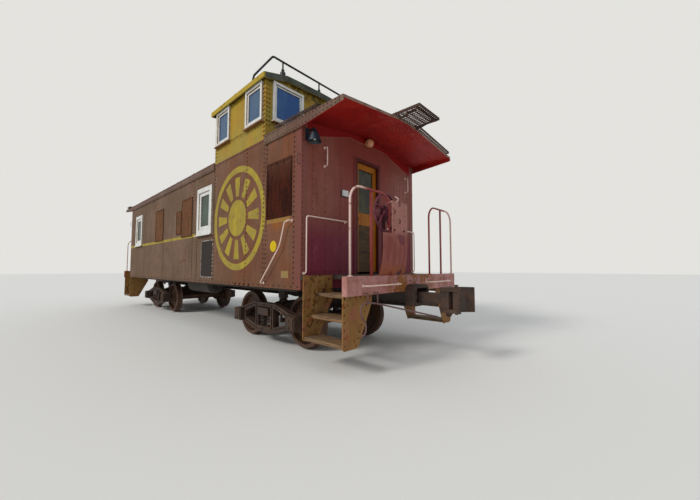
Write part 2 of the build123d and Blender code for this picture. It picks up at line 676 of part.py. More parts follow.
def cupola_handrail():
    """A pipe rail round the front of the cupola roof on four stanchions."""
    rail_x, rail_z = CUPOLA_FRONT_X - 20, CUPOLA_RIDGE_Z + HANDRAIL_HEIGHT
    corner_y = HALF_W - 137
    foot_y, foot_x, foot_z = CUPOLA_EAVE_Y - 60, CUPOLA_FRONT_X - 410, CUPOLA_EAVE_Z + 17
    half = [(foot_x, -foot_y, foot_z), (foot_x + 60, -foot_y, foot_z + 120), (rail_x, -corner_y, rail_z)]
    pieces = [pipe(half + [(x, -y, z) for x, y, z in reversed(half)], HANDRAIL_RADIUS, 40)]
    for y in (-STANCHION_OUTER_Y, -STANCHION_INNER_Y, STANCHION_INNER_Y, STANCHION_OUTER_Y):
        pieces.append(rod_z(rail_x, y, STANCHION_RADIUS, CUPOLA_SHOULDER_Z - 30, rail_z))
        pieces.append(rod_z(rail_x, y, STANCHION_RADIUS + 32, CUPOLA_SHOULDER_Z - 30, CUPOLA_RIDGE_Z + 30))
        pieces.append(rod_z(rail_x, y, STANCHION_RADIUS + 13, CUPOLA_RIDGE_Z + 30, CUPOLA_RIDGE_Z + 85))
    return fuse(pieces) - under_cupola_roof(CUPOLA_BACK_X, CUPOLA_FRONT_X + CUPOLA_OVERHANG_X, 0,
                                            CUPOLA_EAVE_Z - 60)


def smoke_stack():
    """The stove pipe on the right of the roof behind the cupola, with its flashing and cap."""
    x, y, top = CUPOLA_BACK_X - STACK_SETBACK, STACK_Y, ROOF_RIDGE_Z + STACK_HEIGHT
    body = rod_z(x, y, STACK_RADIUS, ROOF_EAVE_Z, top)
    flashing = rod_z(x, y, STACK_RADIUS + 45, ROOF_EAVE_Z, ROOF_RIDGE_Z - 20)
    cap = Pos(x, y, top) * standing_cone(STACK_RADIUS + 70, STACK_RADIUS - 20, 70)
    return fuse([body, flashing, cap]) - under_roof(-ROOF_TIP_X, ROOF_TIP_X, 0, ROOF_SKIRT_Z)


def deck():
    """The A end platform deck between its two step wells."""
    right = [(SILL_BACK_X, STEP_WELL_Y), (STEP_IN_X, STEP_WELL_Y), (STEP_IN_X, HALF_W), (HALF_L, HALF_W)]
    return upright(outline([(x, -y) for x, y in reversed(right)] + right), FLOOR_BOTTOM, FLOOR_TOP)


def end_sill():
    """The A end sill, a channel across the end with closing plates."""
    x0, x1, plate = SILL_BACK_X, SILL_FACE_X, SECTION_PLATE
    low, high = END_SILL_BOTTOM, FLOOR_TOP
    section = outline([(x0, low), (x1, low), (x1, high), (x0, high), (x0, high - plate),
                       (x1 - plate, high - plate), (x1 - plate, low + plate), (x0, low + plate)])
    close = block(x0, x1, HALF_W - plate, HALF_W, low, high)
    return fuse([along(section, -HALF_W, HALF_W)] + both_sides(close))


def tread_top(number):
    """The height of a step tread, counted from the top."""
    return FLOOR_TOP - STEP_FIRST_DROP - STEP_RISE * number


def tread_front(number):
    """The y of a step tread's outer edge, counted from the top."""
    return 35 - HALF_W + STEP_SETBACK * (STEP_COUNT - 1 - number)


def step_plate(x0):
    """One cheek plate of the steps on the left side, with a sloped inner edge."""
    outer = 15 - HALF_W
    foot = tread_top(STEP_COUNT - 1) - 65
    corners = [(outer, FLOOR_TOP), (outer, foot + 30), (outer + 30, foot), (285 - HALF_W, foot),
               (-STEP_WELL_Y, tread_top(0) - 100), (-STEP_WELL_Y, FLOOR_TOP)]
    return across(corners, x0, x0 + STEP_PLATE)


def step_frame():
    """Cheek plates and tread angles of the left steps at the A end."""
    pieces = [step_plate(STEP_IN_X), step_plate(SILL_BACK_X - STEP_PLATE)]
    for number in range(STEP_COUNT):
        z = tread_top(number) - STEP_TREAD_THICKNESS
        front = tread_front(number)
        for y in (front + 40, front + STEP_TREAD_DEPTH - 60):
            pieces.append(block(STEP_IN_X, SILL_BACK_X, y - 15, y + 15, z - 12, z))
    return fuse(pieces)


def step_treads():
    """Timber treads in each of the four steps."""
    pieces = []
    for number in range(STEP_COUNT):
        top, front = tread_top(number), tread_front(number)
        slab = block(STEP_IN_X + STEP_PLATE, SILL_BACK_X - STEP_PLATE, front, front + STEP_TREAD_DEPTH,
                     top - STEP_TREAD_THICKNESS, top)
        pieces += four_corners(slab)
    return pieces


def railing_hoop(radius):
    """The bent pipe of the left railing of the A end, of this radius."""
    return pipe([(RAIL_X, -RAIL_OUTER_Y, FLOOR_TOP), (RAIL_X, -RAIL_OUTER_Y, RAIL_TOP_Z),
                 (RAIL_X, -RAIL_INNER_Y, RAIL_TOP_Z), (RAIL_X, -RAIL_INNER_Y, FLOOR_TOP)], radius, RAIL_BEND)


def end_railing():
    """The left railing of the A end: a bent pipe hoop round a flat middle post."""
    middle = (RAIL_OUTER_Y + RAIL_INNER_Y) / 2
    post = block(RAIL_X - 6, RAIL_X + 6, -middle - 30, -middle + 30, FLOOR_TOP, RAIL_TOP_Z)
    return railing_hoop(RAIL_RADIUS) + post


def bulged_plate(y0, y1, z_top):
    """A plate that curves out from the deck edge and then stands upright, of the stand's thickness."""
    height = STAND_BULGE_HEIGHT
    radius = (STAND_BULGE ** 2 + height ** 2) / (2 * STAND_BULGE)
    centre_x = RAIL_X + STAND_BULGE - radius
    turn_z = FLOOR_TOP + height
    curve = Pos(centre_x, turn_z) * (Circle(radius) - Circle(radius - STAND_PLATE))
    below = Rectangle(STAND_BULGE + 3 * STAND_PLATE, height)
    low = Pos(RAIL_X + STAND_BULGE / 2, FLOOR_TOP + height / 2) * below
    rise = z_top - turn_z
    high = Pos(RAIL_X + STAND_BULGE - STAND_PLATE / 2, turn_z + rise / 2) * Rectangle(STAND_PLATE, rise)
    return along((curve & low) + high, y0, y1)


def brake_stand():
    """The A end brake stand: two bulged posts, curved sheets beside and between them, and a flat panel above.
    The sheet between the posts is rounded off at its upper and lower inner corners, and the railing's leg
    passes through the outer post."""
    inner, outer, bar = STAND_INNER_Y, STAND_POST_Y, STAND_POST_WIDTH
    edge = inner + bar
    x = RAIL_X + STAND_BULGE
    panel_z, panel_top = RAIL_TOP_Z - STAND_PANEL_DROP, RAIL_TOP_Z - STAND_TOP_DROP
    posts = [bulged_plate(-outer, bar - outer, panel_top), bulged_plate(-edge, -inner, panel_top)]
    beside = bulged_plate(-STAND_SHEET_Y, -outer, panel_z)
    between = bulged_plate(bar - outer, -edge - STAND_SHEET_GAP, panel_z)
    between -= rod_x(-edge, panel_z + 30, STAND_TOP_CUT, RAIL_X - 100, x + 100)
    between -= rod_x(-edge, FLOOR_TOP - 60, STAND_FOOT_CUT, RAIL_X - 100, x + 100)
    panel = block(x, x + 6, -outer, -edge + 10, panel_z - 10, panel_top)
    strut = block(RAIL_X - 20, x, -outer, bar - outer, panel_top - 30, panel_top)
    return fuse(posts + [beside, between, panel, strut]) - railing_hoop(RAIL_RADIUS + SEAT_GAP)


def brake_spoke():
    """One curved spoke of the brake wheel, drawn from the hub at the origin up to the rim."""
    reach, half, bow = BRAKE_WHEEL_RADIUS, 13, 45
    left = ThreePointArc((-half, 0), (bow - half, reach / 2), (-half, reach))
    right = ThreePointArc((half, reach), (bow + half, reach / 2), (half, 0))
    closing = [Line((-half, reach), (half, reach)), Line((half, 0), (-half, 0))]
    plane = Plane(origin=(-7, 0, 0), x_dir=(0, 1, 0), z_dir=(1, 0, 0))
    return extrude(plane * make_face(Curve() + [left, right] + closing), amount=14)


def brake_wheel():
    """The A end brake wheel on its gear case and post, facing outwards beside the stand."""
    x, y, z = RAIL_X - 58, BRAKE_WHEEL_Y, RAIL_TOP_Z - BRAKE_WHEEL_DROP
    place = Pos(x, y, z)
    rim = place * Rot(Y=90) * Torus(BRAKE_WHEEL_RADIUS, 15)
    hub = rod_x(y, z, 45, x - 25, x + 25)
    spokes = [place * Rot(X=72 * n) * brake_spoke() for n in range(5)]
    case = rod_x(y, z, 110, x - 125, x - 25)
    arm = block(x - 95, x - 45, y - 45, y + 45, FLOOR_TOP, z)
    return fuse([rim, hub, case, arm] + spokes)


def grab(points, bend, foot):
    """A handhold of bent bar with a round foot at each end, where foot makes one from an end point."""
    return fuse([pipe(points, GRAB_RADIUS, bend), foot(*points[0]), foot(*points[-1])])


def end_foot(x, y, z):
    """A handhold's foot on a face that looks along +X."""
    return rod_x(y, z, 2.2 * GRAB_RADIUS, x, x + 7)


def side_foot(x, y, z):
    """A handhold's foot on the left side."""
    return rod_y(x, z, 2.2 * GRAB_RADIUS, y - 7, y)


def corner_grab():
    """The angled handhold beside the steps, up the corner and in to the door."""
    corner_y, door_y = 52 - HALF_W, -562
    low, high, face_x = FLOOR_TOP + 27, FLOOR_TOP + 815, HALF_L + GRAB_REACH
    return grab([(HALF_L, corner_y, low), (face_x, corner_y, low), (face_x, corner_y, high),
                 (face_x, door_y, high), (HALF_L, door_y, high)], 40, end_foot)


def short_grab(y):
    """An upright handhold high on the end wall."""
    low, high, face_x = ROOF_EAVE_Z - 595, ROOF_EAVE_Z - 315, HALF_L + GRAB_REACH
    return grab([(HALF_L, y, low), (face_x, y, low), (face_x, y, high), (HALF_L, y, high)], 25, end_foot)


def sill_grab():
    """The level handhold on the end sill."""
    face_x, z = SILL_FACE_X + GRAB_REACH, FLOOR_TOP - 120
    y0, y1 = 285 - HALF_W, -395
    return grab([(SILL_FACE_X, y0, z), (face_x, y0, z), (face_x, y1, z), (SILL_FACE_X, y1, z)], 25, end_foot)


def side_grab():
    """The long curved handhold on the side at the A end."""
    top_x, mid_x, low_x = HALF_L - 195, HALF_L - 395, HALF_L - 905
    face_y = -HALF_W - GRAB_REACH
    top_z, low_z = FLOOR_TOP + 768, FLOOR_TOP - 130
    return grab([(top_x, -HALF_W, top_z), (top_x, face_y, top_z), (top_x - 90, face_y, top_z - 25),
                 (mid_x, face_y, FLOOR_TOP + 420), (low_x, face_y, low_z), (low_x, -HALF_W, low_z)],
                [28, 40, 420, 28], side_foot)


def grab_irons():
    """All handholds of the car."""
    single = [short_grab(433 - HALF_W), short_grab(HALF_W - 265), side_grab()]
    paired = [corner_grab(), sill_grab()]
    pieces = [piece for one in single for piece in both_ends(one)]
    return pieces + [piece for one in paired for piece in four_corners(one)]


def corner_lamp():
    """A hollow bell shade on its bracket under the eave of the A end."""
    x, y, z = HALF_L + 125, LAMP_INSET - HALF_W, ROOF_EAVE_Z - LAMP_DROP
    profile = [(0, 170), (28, 170), (60, 110), (95, 0), (91, 0), (56, 108), (25, 164), (0, 164)]
    shade = Pos(x, y, z) * revolve(Plane.XZ * outline(profile), axis=Axis.Z)
    stem = rod_z(x, y, 16, z + 165, z + 200)
    arm = block(HALF_L, x, y - 10, y + 10, z + 182, z + 202)
    plate = block(HALF_L, HALF_L + 8, y - 70, y + 5, z + 40, z + 215)
    return fuse([shade, stem, arm, plate])


def door_lamp():
    """A globe lamp on its round base over the A end door, close under the roof."""
    radius = GLOBE_RADIUS
    x, y, z = HALF_L + MOULDING_PROUD, -15, ROOF_RIDGE_Z - ROOF_THICKNESS - radius - GLOBE_CLEARANCE
    globe = Pos(x + 0.65 * radius, y, z) * Sphere(radius)
    globe -= block(x - radius, x + 10, y - radius, y + radius, z - radius, z + radius)
    return globe + rod_x(y, z, GLOBE_BASE_RADIUS, x, x + 14)


def striker():
    """The coupler carrier box on the A end sill."""
    inner = CENTRE_SILL_HALF - CENTRE_SILL_PLATE
    low, high = CENTRE_SILL_BOTTOM, COUPLER_Z + 184
    x0, x1 = SILL_FACE_X, SILL_FACE_X + STRIKER_LENGTH
    half = STRIKER_HALF
    face = outline([(-half, low), (half, low), (half, high - 40), (half - 60, high), (60 - half, high),
                    (-half, high - 40)], 18)
    mouth = Pos(0, (COUPLER_Z - SHANK_HEIGHT / 2 - SEAT_GAP + COUPLER_Z + 134) / 2)
    mouth = mouth * Rectangle(2 * inner, SHANK_HEIGHT / 2 + SEAT_GAP + 134)
    plane = Plane(origin=(x0, 0, 0), x_dir=(0, 1, 0), z_dir=(1, 0, 0))
    return extrude(plane * (face - mouth), amount=x1 - x0)


def uncoupling_lever():
    """The A end cut lever across the end sill with its hand grip and clips."""
    x, z = SILL_FACE_X + 45, COUPLER_Z + 19
    grip_y = 270 - HALF_W
    rod = pipe([(x + 60, grip_y - 45, z - 400), (x, grip_y, z - 330), (x, grip_y, z), (x, -330, z),
                (x + 330, -230, z - 120), (x + 330, -100, z - 120)], 11, [40, 45, 45, 45])
    clips = [block(SILL_FACE_X, x + 16, y - 12, y + 12, z - 14, END_SILL_BOTTOM + 30)
             for y in (grip_y + 85, -420)]
    return fuse([rod] + clips)


def air_brake_gear():
    """Air reservoir, brake cylinder and train pipe under the floor."""
    y, z, radius = TANK_Y, FLOOR_BOTTOM - TANK_DROP, TANK_RADIUS
    tank = rod_x(y, z, radius, TANK_BACK_X, TANK_FRONT_X)
    domes = [Pos(x, y, z) * Rot(Y=turn) * standing_cone(radius, radius - 80, 50)
             for x, turn in ((TANK_BACK_X, -90), (TANK_FRONT_X, 90))]
    straps = [block(x - 25, x + 25, y - 25, y + 25, z + radius - 30, FLOOR_BOTTOM)
              for x in (TANK_BACK_X + 200, TANK_FRONT_X - 200)]
    y, z, radius = BRAKE_CYLINDER_Y, FLOOR_BOTTOM - BRAKE_CYLINDER_DROP, BRAKE_CYLINDER_RADIUS
    back_x, front_x = BRAKE_CYLINDER_BACK_X, BRAKE_CYLINDER_BACK_X + BRAKE_CYLINDER_LENGTH
    cylinder = rod_x(y, z, radius, back_x, front_x) + rod_x(y, z, radius + 30, front_x, front_x + 30)
    hangers = [block(x - 25, x + 25, y - 25, y + 25, z + radius - 30, FLOOR_BOTTOM)
               for x in (back_x + 120, front_x - 90)]
    push_rod = rod_x(y, z, 25, CROSS_BEARER_XS[0] + 60, back_x)
    line_y, line_z, line_x = TRAIN_PIPE_Y, FLOOR_BOTTOM - TRAIN_PIPE_DROP, HALF_L - 375
    train_pipe = rod_x(line_y, line_z, TRAIN_PIPE_RADIUS, -line_x, line_x)
    hooks = [block(x - 12, x + 12, line_y - 12, line_y + 12, line_z, FLOOR_BOTTOM)
             for x in spread(100 - line_x, line_x - 100, PIPE_HOOK_PITCH)]
    return [fuse([tank] + domes + straps), fuse([cylinder, push_rod] + hangers), fuse([train_pipe] + hooks)]


def hinge_places():
    """Height of the middle of each door hinge."""
    return (DOOR_BOTTOM + 220, (DOOR_BOTTOM + DOOR_TOP) / 2, DOOR_TOP - 220)


def door_hinges():
    """The fixed knuckles of the A end door's hinges, on the inner face of the end wall."""
    pieces = []
    x, y = DOOR_AXIS_X, DOOR_HALF
    third = HINGE_HEIGHT / 3
    for z in hinge_places():
        for low in (z - 1.5 * third, z + 0.5 * third):
            knuckle = rod_z(x, y, HINGE_RADIUS, low, low + third)
            leaf = block(x - 2, x + 2, y, y + 60, low, low + third)
            pad = block(x - 2, INNER_L, y + DOOR_GAP + 4, y + 60, low, low + third)
            pieces.append(fuse([knuckle, leaf, pad]))
    return pieces


def door():
    """The A end door: stiles and rails round a tall light, a boarded lower panel, knob and hinge knuckles."""
    x0, x1 = DOOR_INNER_X, DOOR_OUTER_X
    light = DOOR_HALF - DOOR_STILE
    panel_z0, panel_z1, recess, groove = DOOR_BOTTOM + 180, DOOR_GLASS_Z - 210, 12, 6
    leaf = block(x0, x1, -DOOR_HALF, DOOR_HALF, DOOR_BOTTOM, DOOR_TOP)
    leaf -= block(x0, x1, -light, light, DOOR_GLASS_Z, DOOR_TOP - DOOR_STILE - 15)
    leaf -= block(x1 - recess, x1, -light, light, panel_z0, panel_z1)
    leaf -= block(x0, x0 + recess, -light, light, panel_z0, panel_z1)
    for z in spread(panel_z0, panel_z1, (panel_z1 - panel_z0) / DOOR_BOARDS)[1:-1]:
        leaf -= block(x1 - recess - groove, x1 - recess, -light, light, z - 4, z + 4)
    third = HINGE_HEIGHT / 6 - SEAT_GAP
    for z in hinge_places():
        leaf = leaf + rod_z(DOOR_AXIS_X, DOOR_HALF, HINGE_RADIUS, z - third, z + third)
        leaf = leaf + block(DOOR_AXIS_X - 2, x0, DOOR_HALF - 50, DOOR_HALF, z - third, z + third)
    knob_y, knob_z = 60 - DOOR_HALF, DOOR_GLASS_Z - 115
    plate = block(x1, x1 + 4, knob_y - 25, knob_y + 25, knob_z - 90, knob_z + 60)
    knob = Pos(x1 + 32, knob_y, knob_z) * Sphere(22)
    return fuse([leaf, plate, knob, rod_x(knob_y, knob_z, 9, x1, x1 + 32)])


def door_pane():
    """The A end door's glass, let into the leaf."""
    middle = (DOOR_INNER_X + DOOR_OUTER_X) / 2
    half = DOOR_HALF - DOOR_STILE
    return block(middle - 3, middle + 3, -half, half, DOOR_GLASS_Z, DOOR_TOP - DOOR_STILE - 15)


def coupler():
    """The A end coupler: eye, shank, head with guard arm, and the lugs and pin that hold the knuckle."""
    z0, z1 = COUPLER_Z - SHANK_HEIGHT / 2, COUPLER_Z + SHANK_HEIGHT / 2
    half = SHANK_WIDTH / 2
    face_x = COUPLER_FACE_X
    head_x = face_x - 330
    shank = block(COUPLER_PIN_X, head_x, -half, half, z0, z1) + rod_z(COUPLER_PIN_X, 0, half + 10, z0, z1)
    shank -= rod_z(COUPLER_PIN_X, 0, COUPLER_PIN_RADIUS + RUNNING_FIT, z0, z1)
    low, high = COUPLER_Z - HEAD_HALF_HEIGHT, COUPLER_Z + HEAD_HALF_HEIGHT
    head = upright(outline([(head_x, -120), (head_x, 120), (face_x - 150, 190), (face_x - 10, 205),
                            (face_x + 20, 165), (face_x - 90, 60), (face_x - 130, -10), (face_x - 160, -60),
                            (face_x - 190, -190), (head_x + 30, -190)], 14), low, high)
    lug = upright(outline([(head_x + 20, -190), (face_x - 75, -190), (face_x - 45, -155), (face_x - 60, -100),
                           (head_x + 120, -50), (head_x + 20, -50)], 12), low, high)
    jaw = KNUCKLE_HALF_HEIGHT + SEAT_GAP
    lug -= block(face_x - 210, face_x, -260, -40, COUPLER_Z - jaw, COUPLER_Z + jaw)
    pin = rod_z(KNUCKLE_X, KNUCKLE_Y, KNUCKLE_PIN_RADIUS, low - 15, high + 25)
    cap = rod_z(KNUCKLE_X, KNUCKLE_Y, KNUCKLE_PIN_RADIUS + 12, high, high + 12)
    return fuse([shank, head, lug, pin, cap])


def knuckle():
    """The A end knuckle, a curved claw that swings on its vertical pin."""
    z0, z1 = COUPLER_Z - KNUCKLE_HALF_HEIGHT, COUPLER_Z + KNUCKLE_HALF_HEIGHT
    x, y = KNUCKLE_X, KNUCKLE_Y
    plan = outline([(x - 38, y - 38), (x + 45, y - 40), (x + 75, y + 10), (x + 80, y + 95), (x + 55, y + 130),
                    (x + 25, y + 120), (x + 15, y + 60), (x - 30, y + 38)], 10)
    return upright(plan, z0, z1) - rod_z(x, y, KNUCKLE_PIN_RADIUS + RUNNING_FIT, z0, z1)


def side_frame():
    """The left cast side frame: webbed casting with a bolster window, two light windows and journal boxes."""
    y0, y1 = -JOURNAL_Y - SIDE_FRAME_WIDTH / 2, -JOURNAL_Y + SIDE_FRAME_WIDTH / 2
    seat, axle = SPRING_SEAT_Z, AXLE_OFFSET
    half = [(BOLSTER_WINDOW + 30, seat - 100), (axle - 138, seat + 22), (axle + 125, seat + 22),
            (axle + 125, AXLE_Z + 122), (axle - 78, AXLE_Z + 146), (330, AXLE_Z + 268)]
    shape = outline(half + [(-x, z) for x, z in reversed(half)], 30)
    windows = [outline([(-BOLSTER_WINDOW, seat), (BOLSTER_WINDOW, seat), (BOLSTER_WINDOW, AXLE_Z + 201),
                        (-BOLSTER_WINDOW, AXLE_Z + 201)])]
    for side in (-1, 1):
        windows.append(outline([(side * 285, seat + 5), (side * 285, AXLE_Z + 196), (side * 400, AXLE_Z + 168),
                                (side * (axle - 183), AXLE_Z + 76), (side * (axle - 183), AXLE_Z - 44)], 22))
    pocket = offset(shape, amount=-SIDE_FRAME_RIB)
    for window in windows:
        shape -= window
        pocket -= offset(window, amount=SIDE_FRAME_RIB)
    frame = along(shape, y0, y1)
    frame -= along(pocket, y0, y0 + SIDE_FRAME_POCKET)
    frame -= along(pocket, y1 - SIDE_FRAME_POCKET, y1)
    for side in (-1, 1):
        x = side * axle
        box = block(x - 118, x + 118, y0 - 62, y1 + 18, AXLE_Z - 109, AXLE_Z + 121)
        lid = across([(y0 - 62, AXLE_Z - 94), (y0 - 78, AXLE_Z - 84), (y0 - 78, AXLE_Z + 76),
                      (y0 - 62, AXLE_Z + 106)], x - 95, x + 95)
        hood = rod_x(y0 - 62, AXLE_Z + 98, 14, x - 60, x + 60)
        frame = fuse([frame, box, lid, hood])
        frame -= rod_y(x, AXLE_Z, JOURNAL_RADIUS + RUNNING_FIT, -AXLE_HALF_LENGTH - 6, y1 + 18)
    return frame


def side_frames(truck_x):
    """Both side frames of a truck."""
    return both_sides(Pos(truck_x, 0, 0) * side_frame())


def truck_bolster(truck_x):
    """The truck bolster with its centre bowl, side bearings and rounded ends."""
    end_y, mid_y = JOURNAL_Y + 92, 760
    top = CENTRE_PLATE_Z - SEAT_GAP
    half = [(end_y, BOLSTER_BOTTOM), (end_y, AXLE_Z + 181), (mid_y + 60, AXLE_Z + 196), (mid_y - 120, top)]
    beam = across(half + [(-y, z) for y, z in reversed(half)], -BOLSTER_HALF, BOLSTER_HALF)
    bowl = rod_z(0, 0, CENTRE_PLATE_RADIUS + 45, top, top + 32)
    bowl -= rod_z(0, 0, CENTRE_PLATE_RADIUS + 6, top, top + 32)
    pads = both_sides(block(-80, 80, 600, 670, top - 60, top + 62))
    return Pos(truck_x, 0, 0) * fuse([beam, bowl] + pads)


def truck_springs(truck_x):
    """Two coil springs under each end of the bolster, each a ribbed stand-in of the coil's outer size."""
    coils = 5
    pitch = SPRING_HEIGHT / coils
    core = SPRING_RADIUS - 12
    line = [(0, 0), (core, 0)]
    for n in range(coils):
        line += [(SPRING_RADIUS, (n + 0.5) * pitch), (core, (n + 1) * pitch)]
    line += [(0, SPRING_HEIGHT)]
    spring = revolve(Plane.XZ * outline(line), axis=Axis.Z)
    return [Pos(truck_x + x, side * JOURNAL_Y, SPRING_SEAT_Z) * spring for x in (-95, 95) for side in (-1, 1)]


def brake_gear(truck_x):
    """Two brake beams with hangers, heads and shoes behind the wheels."""
    pieces = []
    beam_z0, beam_z1 = AXLE_Z - 49, AXLE_Z + 16
    reach = JOURNAL_Y - SIDE_FRAME_WIDTH / 2
    half = BRAKE_BEAM_DEPTH / 2
    for side in (-1, 1):
        x = side * (AXLE_OFFSET - TREAD_RADIUS - FLANGE_DEPTH - BRAKE_BEAM_GAP - half)
        parts = [block(x - half, x + half, -reach, reach, beam_z0, beam_z1)]
        for y in (15 - reach, reach - 15):
            parts.append(block(x - 15, x + 15, y - 15, y + 15, beam_z0, AXLE_Z + 246))
        for y in (-SHOE_Y, SHOE_Y):
            face_x = side * (AXLE_OFFSET - 330)
            y0, y1 = y - SHOE_WIDTH / 2, y + SHOE_WIDTH / 2
            shoe = block(min(x, face_x), max(x, face_x), y0, y1, AXLE_Z - 114, AXLE_Z + 116)
            shoe -= rod_y(side * AXLE_OFFSET, AXLE_Z, TREAD_RADIUS + WHEEL_CLEARANCE, y0 - 30, y1 + 30)
            parts.append(shoe)
        pieces.append(Pos(truck_x, 0, 0) * fuse(parts))
    return pieces


def wheel_profile():
    """Half section of the left wheel, (radius, distance from the car's centre line)."""
    tread = TREAD_RADIUS
    back, face = WHEEL_BACK_Y, WHEEL_FACE_Y
    hub_in, hub_out = back - 10, back - 10 + HUB_LENGTH
    rim = tread - RIM_THICKNESS
    plate_in = back + 48
    plate_out = plate_in + PLATE_THICKNESS
    return [(WHEEL_SEAT_RADIUS, hub_in), (HUB_RADIUS, hub_in), (HUB_RADIUS + 18, plate_in + 14),
            (rim - 12, plate_in - 10), (rim, back), (tread + 12, back), (tread + FLANGE_DEPTH, back + 9),
            (tread + FLANGE_DEPTH, back + 17), (tread + 2, back + 38), (tread, face - 10), (tread - 8, face),
            (rim, face), (rim - 12, plate_out - 10), (HUB_RADIUS + 18, plate_out + 14), (HUB_RADIUS, hub_out),
            (WHEEL_SEAT_RADIUS, hub_out)]


def wheelset(x):
    """An axle with two pressed-on wheels."""
    wheel = Rot(X=90) * revolve(Plane.XZ * outline(wheel_profile()), axis=Axis.Z)
    seat_in, seat_out = WHEEL_BACK_Y - 40, WHEEL_BACK_Y - 10 + HUB_LENGTH
    axle = [rod_y(0, 0, AXLE_RADIUS, -seat_in, seat_in),
            rod_y(0, 0, JOURNAL_RADIUS, -AXLE_HALF_LENGTH, AXLE_HALF_LENGTH)]
    axle += both_sides(rod_y(0, 0, WHEEL_SEAT_RADIUS, seat_in, seat_out))
    return Pos(x, 0, AXLE_Z) * fuse(axle + both_sides(wheel))


def write(name, *pieces):
    """Save one named node, of one piece or of several that don't touch."""
    shape = Part() + pieces[0]
    if len(pieces) > 1:
        shape = Compound(children=[Part() + piece for piece in pieces])
    export_step(shape, os.path.join("parts", name + ".step"))


os.makedirs("parts", exist_ok=True)

write("underframe", centre_sill())
write("body_bolsters", body_bolster(TRUCK_CENTRE_X), body_bolster(-TRUCK_CENTRE_X))
write("cross_bearers", *cross_bearers())
write("side_sills", *both_sides(side_sill()))
write("coupler_pins", *both_ends(coupler_pin()))
write("floor_plate", floor_plate())
write("side_wall_left", side_wall())
write("side_wall_right", mirror(side_wall(), about=Plane.XZ))
write("end_wall_a", end_wall())
write("end_wall_b", to_b_end(end_wall()))
write("roof_a", roof(CUPOLA_FRONT_X, HALF_L, ROOF_TIP_X))
write("roof_b", roof(CUPOLA_BACK_X, -HALF_L, -ROOF_TIP_X))
write("cupola_side_left", cupola_side())
write("cupola_side_right", mirror(cupola_side(), about=Plane.XZ))
write("cupola_end_a", cupola_end(CUPOLA_FRONT_X, CUPOLA_FRONT_X - CUPOLA_WALL))
write("cupola_end_b", cupola_end(CUPOLA_BACK_X, CUPOLA_BACK_X + CUPOLA_WALL))
write("cupola_roof", cupola_roof())
write("window_frames", *place_windows(window_frame))
write("window_glass", *place_windows(window_pane))
write("window_covers", *window_covers())
write("running_boards", *running_boards())
write("cupola_handrail", cupola_handrail())
write("smoke_stack", smoke_stack())
write("platform_decks", *both_ends(deck()))
write("end_sills", *both_ends(end_sill()))
write("step_frames", *four_corners(step_frame()))
write("step_treads", *step_treads())
write("end_railings", *four_corners(end_railing()))
write("brake_stands", *both_ends(brake_stand()))
write("brake_wheels", *both_ends(brake_wheel()))
write("grab_irons", *grab_irons())
write("end_lamps", *both_ends(corner_lamp()), *both_ends(door_lamp()))
write("strikers", *both_ends(striker()))
write("uncoupling_levers", *both_ends(uncoupling_lever()))
write("air_brake_gear", *air_brake_gear())
write("door_hinges", *[piece for hinge in door_hinges() for piece in both_ends(hinge)])
for end, place in (("a", Location()), ("b", Rot(Z=180))):
    write("door_" + end, place * door())
    write("door_pane_" + end, place * door_pane())
    write("coupler_" + end, place * coupler())
    write("knuckle_" + end, place * knuckle())
for end, way in (("a", 1), ("b", -1)):
    truck_x = way * TRUCK_CENTRE_X
    write("truck_bolster_" + end, truck_bolster(truck_x))
    write("truck_side_frames_" + end, *side_frames(truck_x))
    write("truck_springs_" + end, *truck_springs(truck_x))
    write("brake_gear_" + end, *brake_gear(truck_x))
    write("wheelset_" + end + "1", wheelset(truck_x + way * AXLE_OFFSET))
    write("wheelset_" + end + "2", wheelset(truck_x - way * AXLE_OFFSET))
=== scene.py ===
import math

import bpy
import numpy as np
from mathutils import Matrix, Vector


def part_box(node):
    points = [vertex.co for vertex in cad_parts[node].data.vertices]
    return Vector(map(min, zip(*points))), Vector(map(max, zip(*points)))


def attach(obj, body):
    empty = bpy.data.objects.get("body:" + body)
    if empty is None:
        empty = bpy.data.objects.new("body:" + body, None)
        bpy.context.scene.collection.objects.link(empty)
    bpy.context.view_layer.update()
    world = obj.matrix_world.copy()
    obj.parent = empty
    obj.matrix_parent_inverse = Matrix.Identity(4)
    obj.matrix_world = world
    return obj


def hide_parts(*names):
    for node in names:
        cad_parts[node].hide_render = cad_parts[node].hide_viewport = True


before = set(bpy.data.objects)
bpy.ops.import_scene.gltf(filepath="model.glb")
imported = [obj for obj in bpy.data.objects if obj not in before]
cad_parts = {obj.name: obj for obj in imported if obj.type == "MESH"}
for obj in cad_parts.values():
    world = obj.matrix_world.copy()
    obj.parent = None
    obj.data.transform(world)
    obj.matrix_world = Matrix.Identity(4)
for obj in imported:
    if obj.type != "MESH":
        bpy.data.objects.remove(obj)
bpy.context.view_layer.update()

bl_info = {
    "name": "Cupola caboose",
    "version": (1, 0, 0),
    "blender": (4, 5, 0),
    "location": "View3D > Sidebar > Caboose",
    "description": "Dresses the packed caboose with rivets, gratings, fittings and weathered finishes",
    "category": "Object",
}

